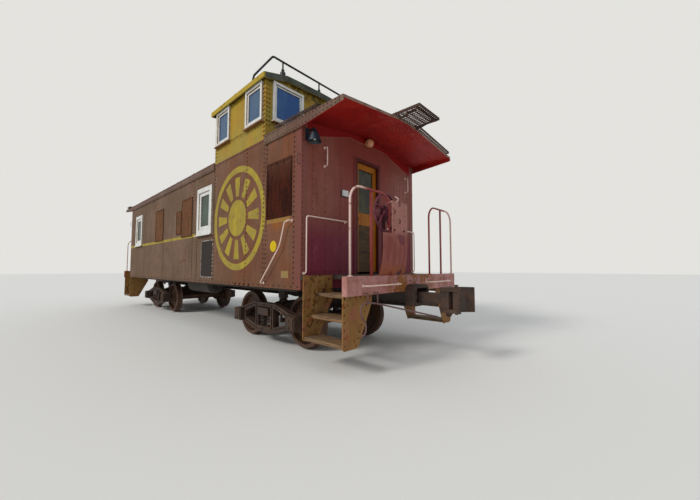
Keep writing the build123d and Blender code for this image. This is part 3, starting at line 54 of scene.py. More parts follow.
# Places on the car in metres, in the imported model's frame
SIDE_Y = -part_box("side_wall_left")[0].y
END_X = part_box("side_wall_left")[1].x
SKIRT_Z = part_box("side_wall_left")[0].z
FLOOR_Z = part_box("floor_plate")[1].z
EAVE_Z = FLOOR_Z + 2.2
CUPOLA_BACK, CUPOLA_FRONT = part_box("cupola_side_left")[0].x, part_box("cupola_side_left")[1].x
SILL_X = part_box("end_sills")[1].x
SILL_LOW_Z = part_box("end_sills")[0].z
RIDGE_Z = EAVE_Z + 0.155
GRATING_Z = RIDGE_Z + 0.062
DOOR_TOP = FLOOR_Z + 1.885
DOOR_HALF = 0.285
FASCIA_Y = -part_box("roof_a")[0].y
FASCIA_LOW_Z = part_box("roof_a")[0].z
FASCIA_TAPER = 0.072
ROOF_TIP_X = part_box("roof_a")[1].x
CUPOLA_RIVET_TOP = 4.38
AXLE_Z = 0.444
TRUCK_X = (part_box("truck_bolster_a")[0].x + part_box("truck_bolster_a")[1].x) / 2
HALF_WHEELBASE = 0.838
FRAME_Y = 0.978
STAND_X = SILL_X + 0.054
# Painted marks of a side: lower and upper edge of the stripe, middle of the small disc, rays of the roundel
STRIPE_Z = (2.002, 2.066)
DISC_MIDDLE = (4.015, 1.652)
ROUNDEL_RAYS = 12.0
# Lining paint of the cabin, and a distance past everything on the car
CABIN_GREEN = "#8f9a88"
BEYOND = 9.0
# The photograph's camera: focal length and frame width in pixels, place, the way it looks, and its pitch
FOCAL_PX, FRAME_PX, SENSOR_MM = 307, 700, 36.0
CAMERA_PLACE = (7.999, -4.020, 1.325)
CAMERA_WAY = (-0.6804, 0.7317)
CAMERA_PITCH = math.radians(3.36)
# Half the side of the floor, and how far it lies under the rail's top
FLOOR_REACH, FLOOR_SUNK = 90, 0.001
# Each end's name and the way it looks along x, and the ways that heads and turned forms look
ENDS = (("a", 1), ("b", -1))
AHEAD, LEFT, UP = (1, 0, 0), (0, -1, 0), (0, 0, 1)
# Riveted seams of a side: place along the car and half the distance between their two columns
SEAMS = ((-3.000, 0.0), (-1.205, 0.0), (0.812, 0.0), (1.080, 0.0), (CUPOLA_BACK + 0.007, 0.03),
         (3.170, 0.0), (CUPOLA_FRONT + 0.028, 0.041), (4.505, 0.0))
# Plated windows of a side: middle, sill, width and height of each cover
COVERS = ((-1.576, FLOOR_Z + 0.825, 0.69, 0.87), (-0.055, FLOOR_Z + 0.905, 0.33, 0.56),
          (0.463, FLOOR_Z + 0.81, 0.65, 0.885), (END_X - 0.525, FLOOR_Z + 0.845, 0.65, 0.86))


def linear(code):
    """Linear red, green and blue of an sRGB hex code."""
    value = np.array([int(code[n:n + 2], 16) for n in (1, 3, 5)]) / 255
    return tuple(np.where(value <= 0.04045, value / 12.92, ((value + 0.055) / 1.055) ** 2.4).tolist())


def rgba(code):
    """The same with full opacity, as a colour socket takes it."""
    return (*linear(code), 1.0)


# Mesh making

def ring_faces(rings, sides):
    """Faces of a closed body of rings of points, numbered ring by ring: quads between them and a cap at
    each end."""
    i, j = np.meshgrid(np.arange(rings - 1), np.arange(sides), indexing="ij")
    after = (j + 1) % sides
    walls = np.stack([i * sides + j, i * sides + after, (i + 1) * sides + after, (i + 1) * sides + j], -1)
    caps = [list(range(sides))[::-1], list(range((rings - 1) * sides, rings * sides))]
    return walls.reshape(-1, 4).tolist() + caps


def inside_out(faces):
    """The same faces, looking the other way."""
    return [face[::-1] for face in faces]


def gathered(parts):
    """Points and faces of several (points, faces) parts as one."""
    points, faces, base = [], [], 0
    for part_points, part_faces in parts:
        part_points = np.asarray(part_points).reshape(-1, 3)
        points.append(part_points)
        faces += [[base + int(v) for v in face] for face in part_faces]
        base += len(part_points)
    return np.concatenate(points), faces


def piece(name, parts, finish, body="car_body", smooth=True, bevel=0.0):
    """One finished object from parts in the row frame, riding on a body."""
    points, faces = gathered(parts)
    mesh = bpy.data.meshes.new(name)
    mesh.from_pydata(points.tolist(), [], faces)
    mesh.validate()
    mesh.update()
    mesh.polygons.foreach_set("use_smooth", np.full(len(mesh.polygons), smooth))
    mesh.materials.append(FINISH[finish])
    thing = bpy.data.objects.new(name, mesh)
    bpy.context.scene.collection.objects.link(thing)
    if bevel:
        edge = thing.modifiers.new("edge", "BEVEL")
        edge.width = bevel
        edge.segments = 2
        edge.limit_method = "ANGLE"
    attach(thing, body)
    return thing


def boxes(lows, highs):
    """Closed boxes between arrays of low and high corners: each corner is low plus a 0 or 1 of the
    difference."""
    lows, highs = np.asarray(lows, float).reshape(-1, 3), np.asarray(highs, float).reshape(-1, 3)
    unit = np.array([(a, b, c) for a in (0, 1) for b in (0, 1) for c in (0, 1)])
    points = lows[:, None] + (highs - lows)[:, None] * unit[None]
    sides = np.array([(0, 1, 3, 2), (4, 6, 7, 5), (0, 4, 5, 1), (2, 3, 7, 6), (0, 2, 6, 4), (1, 5, 7, 3)])
    faces = sides[None] + 8 * np.arange(len(lows))[:, None, None]
    return points.reshape(-1, 3), faces.reshape(-1, 4).tolist()


def tube(path, radius, sides):
    """A tube round a path: point = path + radius * (cos u * across + sin u * over), across and over normal
    to it."""
    path = np.asarray(path, float)
    ahead = np.gradient(path, axis=0)
    ahead /= np.linalg.norm(ahead, axis=1, keepdims=True)
    guide = np.eye(3)[np.argmin(np.abs(ahead).max(0))]
    across = np.cross(ahead, guide)
    across /= np.linalg.norm(across, axis=1, keepdims=True)
    over = np.cross(ahead, across)
    turn = np.arange(sides) * 2 * math.pi / sides
    ring = np.cos(turn)[None, :, None] * across[:, None] + np.sin(turn)[None, :, None] * over[:, None]
    points = path[:, None] + radius * ring
    return points.reshape(-1, 3), ring_faces(len(path), sides)


def round_axis(axis, sides):
    """An axis, and directions across it spread evenly round: cos u * across + sin u * over."""
    axis = np.asarray(axis, float)
    across = np.roll(axis, 1)
    over = np.cross(axis, across)
    turn = np.arange(sides) * 2 * math.pi / sides
    return axis, np.cos(turn)[:, None] * across + np.sin(turn)[:, None] * over


def lathe(profile, place, axis, sides):
    """A closed turned form: point = place + along * axis + radius * direction, for each radius and
    along."""
    axis, ring = round_axis(axis, sides)
    profile = np.asarray(profile, float)
    points = np.asarray(place) + profile[:, None, None, 1] * axis + profile[:, None, None, 0] * ring[None]
    return points.reshape(-1, 3), ring_faces(len(profile), sides)


def heads(places, axis, radius, height, sides=6):
    """Rivet or bolt heads on a face: a ring at the face, a smaller one part way up and a point on top."""
    axis, ring = round_axis(axis, sides)
    ring = radius * ring
    inner = 0.72
    unit = np.concatenate([ring, inner * ring + inner * height * axis, [height * axis]])
    points = np.asarray(places, float)[:, None] + unit[None]
    step = np.arange(sides)
    after = (step + 1) % sides
    walls = np.stack([step, after, after + sides, step + sides], -1).tolist()
    caps = np.stack([step + sides, after + sides, np.full(sides, 2 * sides)], -1).tolist()
    shape = walls + caps + [step[::-1].tolist()]
    count = 2 * sides + 1
    faces = [[v + count * n for v in face] for n in range(len(places)) for face in shape]
    return points.reshape(-1, 3), faces


def nuts(places, axis, across_flats, height):
    """Hexagon heads on a face, each a closed prism of two rings with a flat top."""
    profile = [(across_flats / 2, 0), (across_flats / 2, height * 0.8), (across_flats * 0.42, height)]
    return gathered([lathe(profile, place, axis, 6) for place in places])


def line(start, end, pitch):
    """Evenly spaced points from start to end, about a pitch apart."""
    start, end = np.asarray(start, float), np.asarray(end, float)
    count = max(2, int(round(np.linalg.norm(end - start) / pitch)) + 1)
    return start + (end - start) * np.linspace(0, 1, count)[:, None]


def at_end(way, parts):
    """Parts laid out at the A end, or for a way of -1 the same at the B end, turned half round."""
    return [(points * (way, way, 1), faces) for points, faces in parts]


def both_ends(*parts):
    """Parts laid out at the A end, and the same at the B end."""
    return at_end(1, parts) + at_end(-1, parts)


def both_sides(*parts):
    """Parts laid out on the left, and the same on the right."""
    return [*parts, *((points * (1, -1, 1), inside_out(faces)) for points, faces in parts)]


# Material making

def add(tree, kind, settings=None, links=None):
    """Adds a node, sets its properties, and fills its inputs with values or with other nodes' sockets."""
    node = tree.nodes.new(kind)
    for key, value in (settings or {}).items():
        setattr(node, key, value)
    for key, value in (links or {}).items():
        if isinstance(value, bpy.types.NodeSocket):
            tree.links.new(value, node.inputs[key])
        else:
            node.inputs[key].default_value = value
    return node


class Skin:
    """A finish while it is laid: its shader, and the Object coordinates that its patterns stand on, as a
    whole, as x, y and z, and as the distances along and across from the middle of the car."""

    def __init__(self, name, **shader):
        self.material = bpy.data.materials.new(name)
        self.material.use_nodes = True
        self.tree = self.material.node_tree
        self.surface = self.tree.nodes["Principled BSDF"]
        for key, value in shader.items():
            self.surface.inputs[key.replace("_", " ")].default_value = value
        self.place = add(self.tree, "ShaderNodeTexCoord").outputs["Object"]
        self.x, self.y, self.z = add(self.tree, "ShaderNodeSeparateXYZ", None, {0: self.place}).outputs
        self.along, self.across = (
            add(self.tree, "ShaderNodeMath", {"operation": "ABSOLUTE"}, {0: value}).outputs[0]
            for value in (self.x, self.y))

    def facing(self):
        """The x, y and z of the way the surface faces."""
        normal = add(self.tree, "ShaderNodeNewGeometry").outputs["Normal"]
        return add(self.tree, "ShaderNodeSeparateXYZ", None, {0: normal}).outputs

    def patches(self, size_mm, low, high, stretch=(1, 1, 1), seed=0.0):
        """Cloudy patches of a size in millimetres: 0 where the noise is under low and 1 where it is over
        high."""
        scaled = add(self.tree, "ShaderNodeMapping", None,
                     {"Vector": self.place, "Location": (seed, seed, seed), "Scale": stretch})
        cloud = add(self.tree, "ShaderNodeTexNoise", None, {
            "Vector": scaled.outputs[0], "Scale": 1000 / size_mm, "Detail": 6.0, "Roughness": 0.62})
        return add(self.tree, "ShaderNodeMapRange", {"interpolation_type": "SMOOTHSTEP"},
                   {"Value": cloud.outputs[0], "From Min": low, "From Max": high}).outputs[0]

    def between(self, value, low=-BEYOND, high=BEYOND, soft=0.003):
        """1 where a value lies between low and high, falling to 0 over a soft edge."""
        rise = add(self.tree, "ShaderNodeMapRange", None,
                   {"Value": value, "From Min": low - soft, "From Max": low + soft})
        fall = add(self.tree, "ShaderNodeMapRange", None, {
            "Value": value, "From Min": high - soft, "From Max": high + soft, "To Min": 1.0, "To Max": 0.0})
        return self.together(rise.outputs[0], fall.outputs[0])

    def together(self, *masks):
        """The mask where all of several hold: their product."""
        result = masks[0]
        for mask in masks[1:]:
            result = add(self.tree, "ShaderNodeMath", {"operation": "MULTIPLY"},
                         {0: result, 1: mask}).outputs[0]
        return result

    def either(self, *masks):
        """The mask where any of several holds: the largest of them."""
        result = masks[0]
        for mask in masks[1:]:
            result = add(self.tree, "ShaderNodeMath", {"operation": "MAXIMUM"},
                         {0: result, 1: mask}).outputs[0]
        return result

    def outside(self, *masks):
        """The mask where several don't all hold: one less their product."""
        return add(self.tree, "ShaderNodeMath", {"operation": "SUBTRACT"},
                   {0: 1.0, 1: self.together(*masks)}).outputs[0]

    def from_middle(self, x, z):
        """How far a point of a side lies from a middle at x and z, seen square on: as a vector and as a
        length."""
        vector = self.place
        for operation, other in (("SUBTRACT", (x, 0, z)), ("MULTIPLY", (1, 0, 1))):
            vector = add(self.tree, "ShaderNodeVectorMath", {"operation": operation},
                         {0: vector, 1: other}).outputs[0]
        length_of = add(self.tree, "ShaderNodeVectorMath", {"operation": "LENGTH"}, {0: vector})
        return vector, length_of.outputs["Value"]

    def coats(self, colour, *layers):
        """Paint in layers on a first colour: each is a colour, and masks whose product lays it over those
        below."""
        for over, *masks in layers:
            below, above = (rgba(value) if isinstance(value, str) else value for value in (colour, over))
            colour = add(self.tree, "ShaderNodeMix", {"data_type": "RGBA"},
                         {0: self.together(*masks), 6: below, 7: above}).outputs[2]
        return colour

    def weathered(self, fresh, faded, grime, rust, rusting=0.5):
        """Old paint on steel: chalked and fresh areas, grime in runs down the sheet, and rust spots in
        groups. Returns the colour, and keeps the masks of the runs and spots."""
        self.runs = self.together(self.patches(85, 0.5, 0.74, (1, 1, 0.07), 7.7), 0.55)
        group = self.patches(700, 0.62 - 0.3 * rusting, 0.8 - 0.3 * rusting, seed=5.3)
        self.spots = self.together(self.patches(55, 0.54, 0.6, seed=1.9), group)
        trails = self.patches(45, 0.55, 0.72, (1, 1, 0.05), 2.7)
        return self.coats(fresh, (faded, self.patches(1100, 0.38, 0.62)),
                          (grime, self.patches(160, 0.45, 0.75, seed=3.1), 0.35), (grime, self.runs),
                          (rust, trails, group, 0.6), (rust, self.spots))

    def lay(self, colour, *bumps):
        """Links a colour and its relief: bumps, each a mask and its height in metres, one on the other."""
        self.tree.links.new(colour, self.surface.inputs["Base Color"])
        below = {}
        for height, distance in bumps:
            bump = add(self.tree, "ShaderNodeBump", None,
                       {"Height": height, "Distance": distance, "Strength": 1.0, **below})
            below = {"Normal": bump.outputs[0]}
        self.tree.links.new(bump.outputs[0], self.surface.inputs["Normal"])
        return self.material

    def roughened(self, mask, low, high):
        """Links a roughness that goes from low to high with a mask."""
        rough = add(self.tree, "ShaderNodeMapRange", None, {"Value": mask, "To Min": low, "To Max": high})
        self.tree.links.new(rough.outputs[0], self.surface.inputs["Roughness"])

    def finish(self, colour, rust, low=0.5, high=0.85, waves=0.0):
        """Lays a paint: rust is rougher, and the relief is brush texture, rust scale, and the slow waves of
        thin plate between its frames."""
        self.roughened(rust, low, high)
        bumps = [(self.patches(9, 0.3, 0.7), 0.0006), (rust, 0.0012)]
        if waves:
            bumps.append((self.patches(620, 0.2, 0.8, (1, 1, 0.6)), waves))
        return self.lay(colour, *bumps)


def side_paint():
    """Alkyd paint on riveted steel sheet, faded by the sun to a chalky brown, with a stripe, a sunburst
    roundel, a blank data panel and a disc in other paints: the eye sees flat, dry colour, rust at laps and
    runs of dirt."""
    marks = bpy.context.scene.caboose_paint
    skin = Skin("chalked_alkyd_on_steel_side", Specular_IOR_Level=0.16)
    x, z = skin.x, skin.z
    far = add(skin.tree, "ShaderNodeMapRange", {"interpolation_type": "SMOOTHSTEP"},
              {"Value": x, "From Min": 3.6, "From Max": 1.2}).outputs[0]
    fresh, faded = skin.coats("#6b432f", ("#66503c", far)), skin.coats("#75503d", ("#735a49", far))
    colour = skin.weathered(fresh, faded, "#4d382c", "#5f3219", 0.3)
    colour = skin.coats(
        colour,
        ("#7c421c", skin.patches(420, 0.46, 0.62, (1, 1, 0.5), 6.2), 0.35, skin.outside(far)),
        ("#59412c", skin.between(z, high=SKIRT_Z + 0.275, soft=0.275), skin.patches(300, 0.3, 0.7), 0.5),
        ("#74453f", skin.between(x, 4.52, soft=0.1), 0.8),
        ("#8a5424", skin.between(x, 3.86, 4.50, 0.05), skin.between(z, 1.90, 2.04, 0.05),
         skin.patches(60, 0.4, 0.6, (1, 1, 0.2))),
        ("#8a6a55", skin.patches(38, 0.56, 0.7, (1, 1, 0.025), 4.9), 0.5))
    yellow = skin.coats("#a79330", ("#97853a", skin.patches(240, 0.36, 0.6, seed=4.4)),
                        ("#7f6a30", skin.runs))
    worn = skin.outside(skin.patches(70, 0.6, 0.68, seed=8.8), 0.9)
    vector, reach = skin.from_middle(marks.roundel_x, marks.roundel_z)
    dx, _, dz = add(skin.tree, "ShaderNodeSeparateXYZ", None, {0: vector}).outputs
    wave = add(skin.tree, "ShaderNodeMath", {"operation": "ARCTAN2"}, {0: dz, 1: dx}).outputs[0]
    for operation in ("MULTIPLY", "COSINE"):
        wave = add(skin.tree, "ShaderNodeMath", {"operation": operation},
                   {0: wave, 1: ROUNDEL_RAYS}).outputs[0]
    size = marks.roundel_radius
    rays = skin.together(skin.between(wave, 0.0, soft=0.03), skin.between(reach, 0.42 * size, 0.79 * size))
    colour = skin.coats(
        colour,
        (yellow, skin.between(z, *STRIPE_Z), skin.between(x, -4.66, 1.859), worn),
        ("#a8853d", skin.between(z, *STRIPE_Z, 0.006), skin.between(x, 3.83, 4.43), 0.5, worn),
        *((yellow, shape, worn) for shape in (skin.between(reach, 0.88 * size, size),
                                              skin.between(reach, high=0.35 * size), rays)))
    panel, inside = (skin.together(skin.between(x, 1.319 + edge, 1.885 - edge),
                                   skin.between(z, 1.135 + edge, 1.893 - edge)) for edge in (0, 0.018))
    seams = skin.either(*(skin.between(x, seam - 0.003, seam + 0.003, 0.0015) for seam, _ in SEAMS))
    colour = skin.coats(
        colour,
        ("#262322", panel, 0.9),
        ("#a8a29c", panel, skin.outside(inside), skin.patches(60, 0.4, 0.55, seed=6.0)),
        ("#cbae12", skin.between(skin.from_middle(*DISC_MIDDLE)[1], high=0.083)),
        ("#97804f", skin.between(x, 4.229, 4.401), skin.between(z, 1.185, 1.282), 0.75),
        ("#33231b", seams, 0.7),
        (CABIN_GREEN, skin.between(skin.across, high=SIDE_Y - 0.03, soft=0.002),
         skin.between(x, 0.004 - END_X, END_X - 0.004, 0.001)))
    return skin.finish(colour, skin.spots, 0.72, 0.9, 0.012)


def end_paint():
    """Alkyd paint on the end sheets in the shade, kept darker and redder than the sides: purple low down,
    bright red above the moulding, with vertical laps, scuffs and runs, and painted shade round the doorway."""
    skin = Skin("alkyd_on_steel_end", Specular_IOR_Level=0.22)
    z, across = skin.z, skin.across
    middle, low = (add(skin.tree, "ShaderNodeMapRange", {"interpolation_type": "SMOOTHSTEP"},
                       {"Value": value, "From Min": none, "From Max": full}).outputs[0]
                   for value, none, full in ((across, 1.0, 0.45), (z, 2.15, 1.70)))
    # The moulding runs level over the middle and falls towards the sides
    slope = add(skin.tree, "ShaderNodeMath", {"operation": "MULTIPLY_ADD"},
                {0: across, 1: -0.294, 2: 3.570}).outputs[0]
    moulding = add(skin.tree, "ShaderNodeMath", {"operation": "MINIMUM"},
                   {0: slope, 1: EAVE_Z + 0.012}).outputs[0]
    over = add(skin.tree, "ShaderNodeMath", {"operation": "SUBTRACT"}, {0: z, 1: moulding}).outputs[0]
    laps = skin.either(*(skin.between(across, lap - 0.003, lap + 0.003, 0.001)
                         for lap in (0.67, 0.99, 1.24)))
    colour = skin.coats(
        skin.weathered("#854839", "#8c544b", "#69392f", "#5a2c26", 0.12),
        ("#7c2e25", middle, 0.7),
        ("#752839", low, skin.between(across, high=SIDE_Y - 0.075, soft=0.01), skin.patches(600, 0.1, 0.4)),
        ("#9a5a56", skin.patches(120, 0.56, 0.74, (1, 1, 0.3), 2.2), 0.25),
        ("#84110d", skin.between(over, 0.0, soft=0.008)),
        # Painted highlight: a lighter line along the moulding's edge
        ("#a06450", skin.between(over, -0.012, 0.003, 0.004), 0.45),
        ("#7f4b43", skin.between(across, SIDE_Y - 0.115, SIDE_Y), 0.8),
        ("#48221f", laps, 0.6),
        # Painted shade: a dark band round the doorway stands for its shaded jamb and head
        ("#451613", skin.between(across, high=DOOR_HALF + 0.045, soft=0.004),
         skin.between(z, FLOOR_Z - 0.01, DOOR_TOP + 0.045, 0.004), 0.85),
        (CABIN_GREEN, skin.between(skin.along, high=END_X - 0.045, soft=0.002)))
    return skin.finish(colour, skin.spots, 0.5, 0.82, 0.008)


def roof_paint():
    """Roofing paint on steel sheet: worn brown with grey wear above, and bright red under the overhangs,
    where neither sun nor rain reaches it, with painted shade next to the end walls and a painted sheen
    towards the tip."""
    skin = Skin("roofing_paint_on_steel", Specular_IOR_Level=0.25)
    z, along, across = skin.z, skin.along, skin.across
    below = skin.between(skin.facing()[2], high=-0.6, soft=0.05)
    red = skin.coats(
        skin.weathered("#950d0a", "#a8241a", "#6a0d0c", "#7c3020", 0.2),
        # Painted shade: darker red under the overhang next to the end wall
        ("#5f0a0a", skin.between(along, high=END_X + 0.225, soft=0.225), 0.55),
        # Painted sheen: pale patches in the middle of the underside towards the tip
        ("#b06a58", skin.between(along, ROOF_TIP_X - 0.30, soft=0.2),
         skin.between(across, high=0.8, soft=0.3), skin.patches(46, 0.57, 0.64), 0.8))
    colour = skin.coats(
        skin.weathered("#624435", "#6f5647", "#4b3528", "#573523", 0.5),
        ("#84695a", skin.between(along, ROOF_TIP_X - 0.03, soft=0.01), skin.patches(130, 0.35, 0.55)),
        (red, below, skin.between(along, END_X - 0.01)),
        (red, skin.between(across, SIDE_Y - 0.002, soft=0.002), skin.between(along, END_X + 0.02),
         skin.between(across, high=SIDE_Y + 0.006), skin.between(z, high=EAVE_Z - 0.03)),
        (CABIN_GREEN, below, skin.between(along, high=END_X - 0.01),
         skin.between(across, high=SIDE_Y - 0.01)))
    return skin.finish(colour, skin.spots, 0.5, 0.85, 0.006)


def cupola_paint():
    """Yellow alkyd paint on the cupola sheets, weathered to mustard, with rust bleeding from its rivets and
    painted shade in patches under the eaves."""
    skin = Skin("mustard_alkyd_on_steel", Specular_IOR_Level=0.2)
    z = skin.z
    colour = skin.coats(
        skin.weathered("#a58a22", "#968336", "#7d6a2a", "#6b4a1e", 0.16),
        ("#a87a1c", skin.patches(340, 0.45, 0.62, (1, 1, 0.6), 3.7), 0.5),
        # Painted shade: darker in patches under the eave of the cupola roof
        ("#5b4a1c", skin.between(z, 4.35, soft=0.07), skin.patches(90, 0.4, 0.6)),
        ("#6b4c20", skin.between(z, 3.63, 3.71, 0.03), skin.patches(70, 0.46, 0.6, seed=9.0), 0.6),
        ("#4a3716", skin.between(z, 3.699, 3.705, 0.002), 0.8),
        ("#6d4936", skin.between(z, high=EAVE_Z - 0.035, soft=0.004)),
        (CABIN_GREEN, skin.between(skin.x, CUPOLA_BACK + 0.035, CUPOLA_FRONT - 0.035, 0.002),
         skin.between(skin.across, high=SIDE_Y - 0.035, soft=0.002)))
    return skin.finish(colour, skin.spots, 0.55, 0.85, 0.006)


def cupola_roof_paint():
    """Bituminous roofing on the cupola: dull greenish black with lichen grey, over a yellow painted
    eave."""
    skin = Skin("bitumen_on_cupola_roof", Specular_IOR_Level=0.2)
    spots = skin.patches(50, 0.56, 0.66, seed=2.0)
    yellow = skin.coats("#ab912c", ("#6e5a24", skin.patches(120, 0.56, 0.66, seed=5.0)))
    colour = skin.coats("#3c4038", ("#565a4e", skin.patches(240, 0.4, 0.65)), ("#6d6752", spots),
                        (yellow, skin.between(skin.across, SIDE_Y + 0.05, soft=0.004)),
                        ("#93803a", skin.between(skin.facing()[2], high=-0.6, soft=0.05)))
    return skin.finish(colour, spots, 0.7, 0.9)


def white_paint():
    """White alkyd on timber window frames, chalky, with runs of dirt; the paint is gone from the edges that
    face the weather, and the ledges under the cupola's end windows are bare brown wood."""
    skin = Skin("white_alkyd_on_timber", Specular_IOR_Level=0.4)
    z, across, facing = skin.z, skin.across, skin.facing()
    lengthwise = add(skin.tree, "ShaderNodeMath", {"operation": "ABSOLUTE"}, {0: facing[0]}).outputs[0]
    chips = skin.patches(22, 0.66, 0.7, seed=4.0)
    bare = skin.coats("#8d7256", ("#9a6c38", skin.between(z, EAVE_Z)),
                      ("#b7a890", skin.patches(60, 0.4, 0.62, seed=1.0)))
    wood = skin.coats("#8a5a26", ("#5c3a17", skin.patches(50, 0.45, 0.6, seed=6.0)))
    colour = skin.coats(
        "#dcdcd8",
        ("#c9c8c1", skin.patches(180, 0.4, 0.7)),
        ("#8f8474", skin.patches(40, 0.52, 0.72, (1, 1, 0.12)), 0.5),
        ("#7d6a55", chips),
        (bare, skin.between(lengthwise, 0.7, soft=0.1), skin.between(across, SIDE_Y + 0.004), 0.9),
        # Painted shade: faces that look down are darker brown
        ("#6b4a26", skin.between(facing[2], high=-0.7, soft=0.1)),
        (wood, skin.between(z, EAVE_Z, RIDGE_Z + 0.149, 0.001), skin.between(across, high=1.2), 0.85),
        (wood, skin.between(z, EAVE_Z, RIDGE_Z + 0.134, 0.001), skin.between(across, 1.2), 0.85))
    return skin.finish(colour, chips, 0.45, 0.8)


def rusted_plate():
    """Steel sheet rusted through its brown paint; the cover at the A end's corner has gone to bare dark
    rust, chalky at the top, with darker runs and a few flecks of old yellow."""
    skin = Skin("rusted_sheet_steel", Specular_IOR_Level=0.08)
    x, z = skin.x, skin.z
    brown = skin.coats("#6a4a31", ("#5e3d28", skin.patches(260, 0.35, 0.65)),
                       ("#74492a", skin.patches(90, 0.52, 0.64, seed=2.0)),
                       ("#2f4a33", skin.between(x, -0.16, -0.02, 0.03), skin.between(z, 2.30, 2.52, 0.06),
                        skin.patches(50, 0.4, 0.6), 0.6))
    scale = skin.patches(24, 0.52, 0.66, seed=3.0)
    bare = skin.coats("#2e0f07", ("#43190d", skin.patches(150, 0.42, 0.6, (1, 1, 0.4))),
                      ("#1f0a05", skin.patches(26, 0.48, 0.62, (1, 1, 0.08)), 0.8),
                      ("#6a4a38", skin.between(z, 2.78, soft=0.2),
                       skin.patches(20, 0.35, 0.6, (1, 1, 0.1)), 0.6),
                      ("#6e351a", scale, 0.4),
                      ("#b0862c", skin.patches(18, 0.7, 0.73, seed=6.0), skin.patches(500, 0.5, 0.6)))
    # A dark border round each cover, rim wide: its gasket, and painted shadow in the gap round the cover
    rim = 0.008
    inside = skin.either(*(
        skin.together(skin.between(x, middle - width / 2 + rim, middle + width / 2 - rim),
                      skin.between(z, sill + rim, sill + height - rim))
        for middle, sill, width, height in COVERS))
    colour = skin.coats(brown, (bare, skin.between(skin.along, 3.5)),
                        ("#2b1710", skin.outside(inside), 0.8))
    return skin.finish(colour, scale, 0.75, 0.95)


def door_timber():
    """Varnished fir of the end door: ochre stiles and rails with grain along them, and darker plywood
    boards below the light, dry and scuffed."""
    skin = Skin("varnished_fir_door", Specular_IOR_Level=0.25)
    grain = skin.patches(26, 0.35, 0.7, (1, 1, 0.06))
    board = skin.coats("#5a3f1c", ("#3a2710", skin.patches(60, 0.4, 0.62, (1, 0.12, 1))))
    colour = skin.coats(
        "#ae6a0e", ("#8e4f08", grain),
        (board, skin.between(skin.z, FLOOR_Z, FLOOR_Z + 0.82), skin.between(skin.across, high=0.191)),
        ("#5b3d22", skin.patches(70, 0.6, 0.7, (1, 1, 0.4), 5.0), 0.6))
    return skin.finish(colour, grain, 0.42, 0.6)


def tread_timber():
    """Weathered oak step treads: grey brown, with open grain along the tread and worn pale nosings."""
    skin = Skin("weathered_oak_tread", Specular_IOR_Level=0.3)
    grain = skin.patches(18, 0.4, 0.66, (0.08, 1, 1))
    colour = skin.coats("#8a6a48", ("#75614c", skin.patches(200, 0.4, 0.62)), ("#584330", grain))
    return skin.finish(colour, grain, 0.7, 0.9)


def flaked_paint(name, fresh, faded, grime, rust, rusting, rough=0.5):
    """Brushed paint on steel sections and pipe, worn to rust on the edges."""
    skin = Skin(name, Specular_IOR_Level=0.3)
    return skin.finish(skin.weathered(fresh, faded, grime, rust, rusting), skin.spots, rough, 0.88)


def rail_paint():
    """Red paint on pipe railings, weathered pinkish; the outer legs carry flaking white paint over it."""
    skin = Skin("red_and_white_paint_on_pipe", Specular_IOR_Level=0.4)
    colour = skin.coats(
        skin.weathered("#8a211f", "#964038", "#651d1b", "#5b2c1e", 0.3),
        ("#dcbcb0", skin.between(skin.across, 1.10, soft=0.06), skin.patches(60, 0.34, 0.42, seed=4.0)))
    return skin.finish(colour, skin.spots, 0.45, 0.85)


def glass():
    """Drawn window glass, thin and slightly wavy, over a dark cabin. Its colour is painted reflection: the
    blue of the sky in the cupola and a green grey of trees lower down, both in soft clouds; the door panes
    are brown, with a dark bead round them."""
    skin = Skin("drawn_window_glass", Transmission_Weight=0.2, IOR=1.5, Specular_IOR_Level=0.3)
    z, across, bead = skin.z, skin.across, 0.014
    cloud = skin.patches(520, 0.42, 0.66, (1, 1, 0.5))
    # Painted reflection of the sky on the cupola's panes, greyer on its side panes
    blue = skin.coats("#1c5496", ("#5b86ad", cloud, 0.6),
                      ("#465a66", skin.between(across, SIDE_Y - 0.06), 0.6))
    # Painted reflection of trees on the lower panes
    green = skin.coats("#22340f", ("#43543a", cloud))
    low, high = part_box("door_pane_a")
    pane = skin.coats("#262612", ("#554f2a", skin.patches(260, 0.35, 0.7, (1, 1, 0.6), 3.0)),
                      ("#0f0e0c", skin.outside(skin.between(across, high=high.y - bead),
                                               skin.between(z, low.z + bead, high.z - bead))))
    reflections_and_panes = skin.coats(green, (blue, skin.between(z, 3.55, soft=0.25)),
                      (pane, skin.between(skin.along, END_X - 0.2)))
    skin.roughened(skin.patches(380, 0.4, 0.8), 0.03, 0.14)
    return skin.lay(reflections_and_panes, (skin.patches(260, 0.2, 0.8, seed=5.0), 0.002))


def cast_steel():
    """Cast steel under decades of road grime: brown black, granular, with dry rust on the worn edges."""
    skin = Skin("grimed_cast_steel", Specular_IOR_Level=0.35, Metallic=0.15)
    rust = skin.patches(60, 0.52, 0.68, seed=3.0)
    colour = skin.coats("#3b2f29", ("#4f3c31", skin.patches(220, 0.4, 0.65)), ("#5e3d29", rust, 0.7),
                        ("#7a6a58", skin.patches(300, 0.55, 0.8, seed=9.0), 0.5))
    return skin.finish(colour, rust, 0.7, 0.92)


def wheel_steel():
    """Rolled wheel steel: rust brown, in finer and coarser patches."""
    skin = Skin("rusted_wheel_steel", Specular_IOR_Level=0.4, Metallic=0.2)
    rust = skin.patches(30, 0.5, 0.68, seed=4.0)
    colour = skin.coats("#4b372d", ("#60432f", skin.patches(150, 0.4, 0.65)), ("#6d4a33", rust))
    return skin.finish(colour, rust, 0.6, 0.9)


def enamel(name, code, rough):
    """Vitreous enamel on pressed steel: smooth colour with a soft gloss, dusted by the weather."""
    skin = Skin(name, Coat_Weight=0.3, Coat_Roughness=0.2, Roughness=rough)
    dust = skin.patches(40, 0.45, 0.75)
    return skin.lay(skin.coats(code, ("#8a8378", dust, 0.4)), (dust, 0.0003))


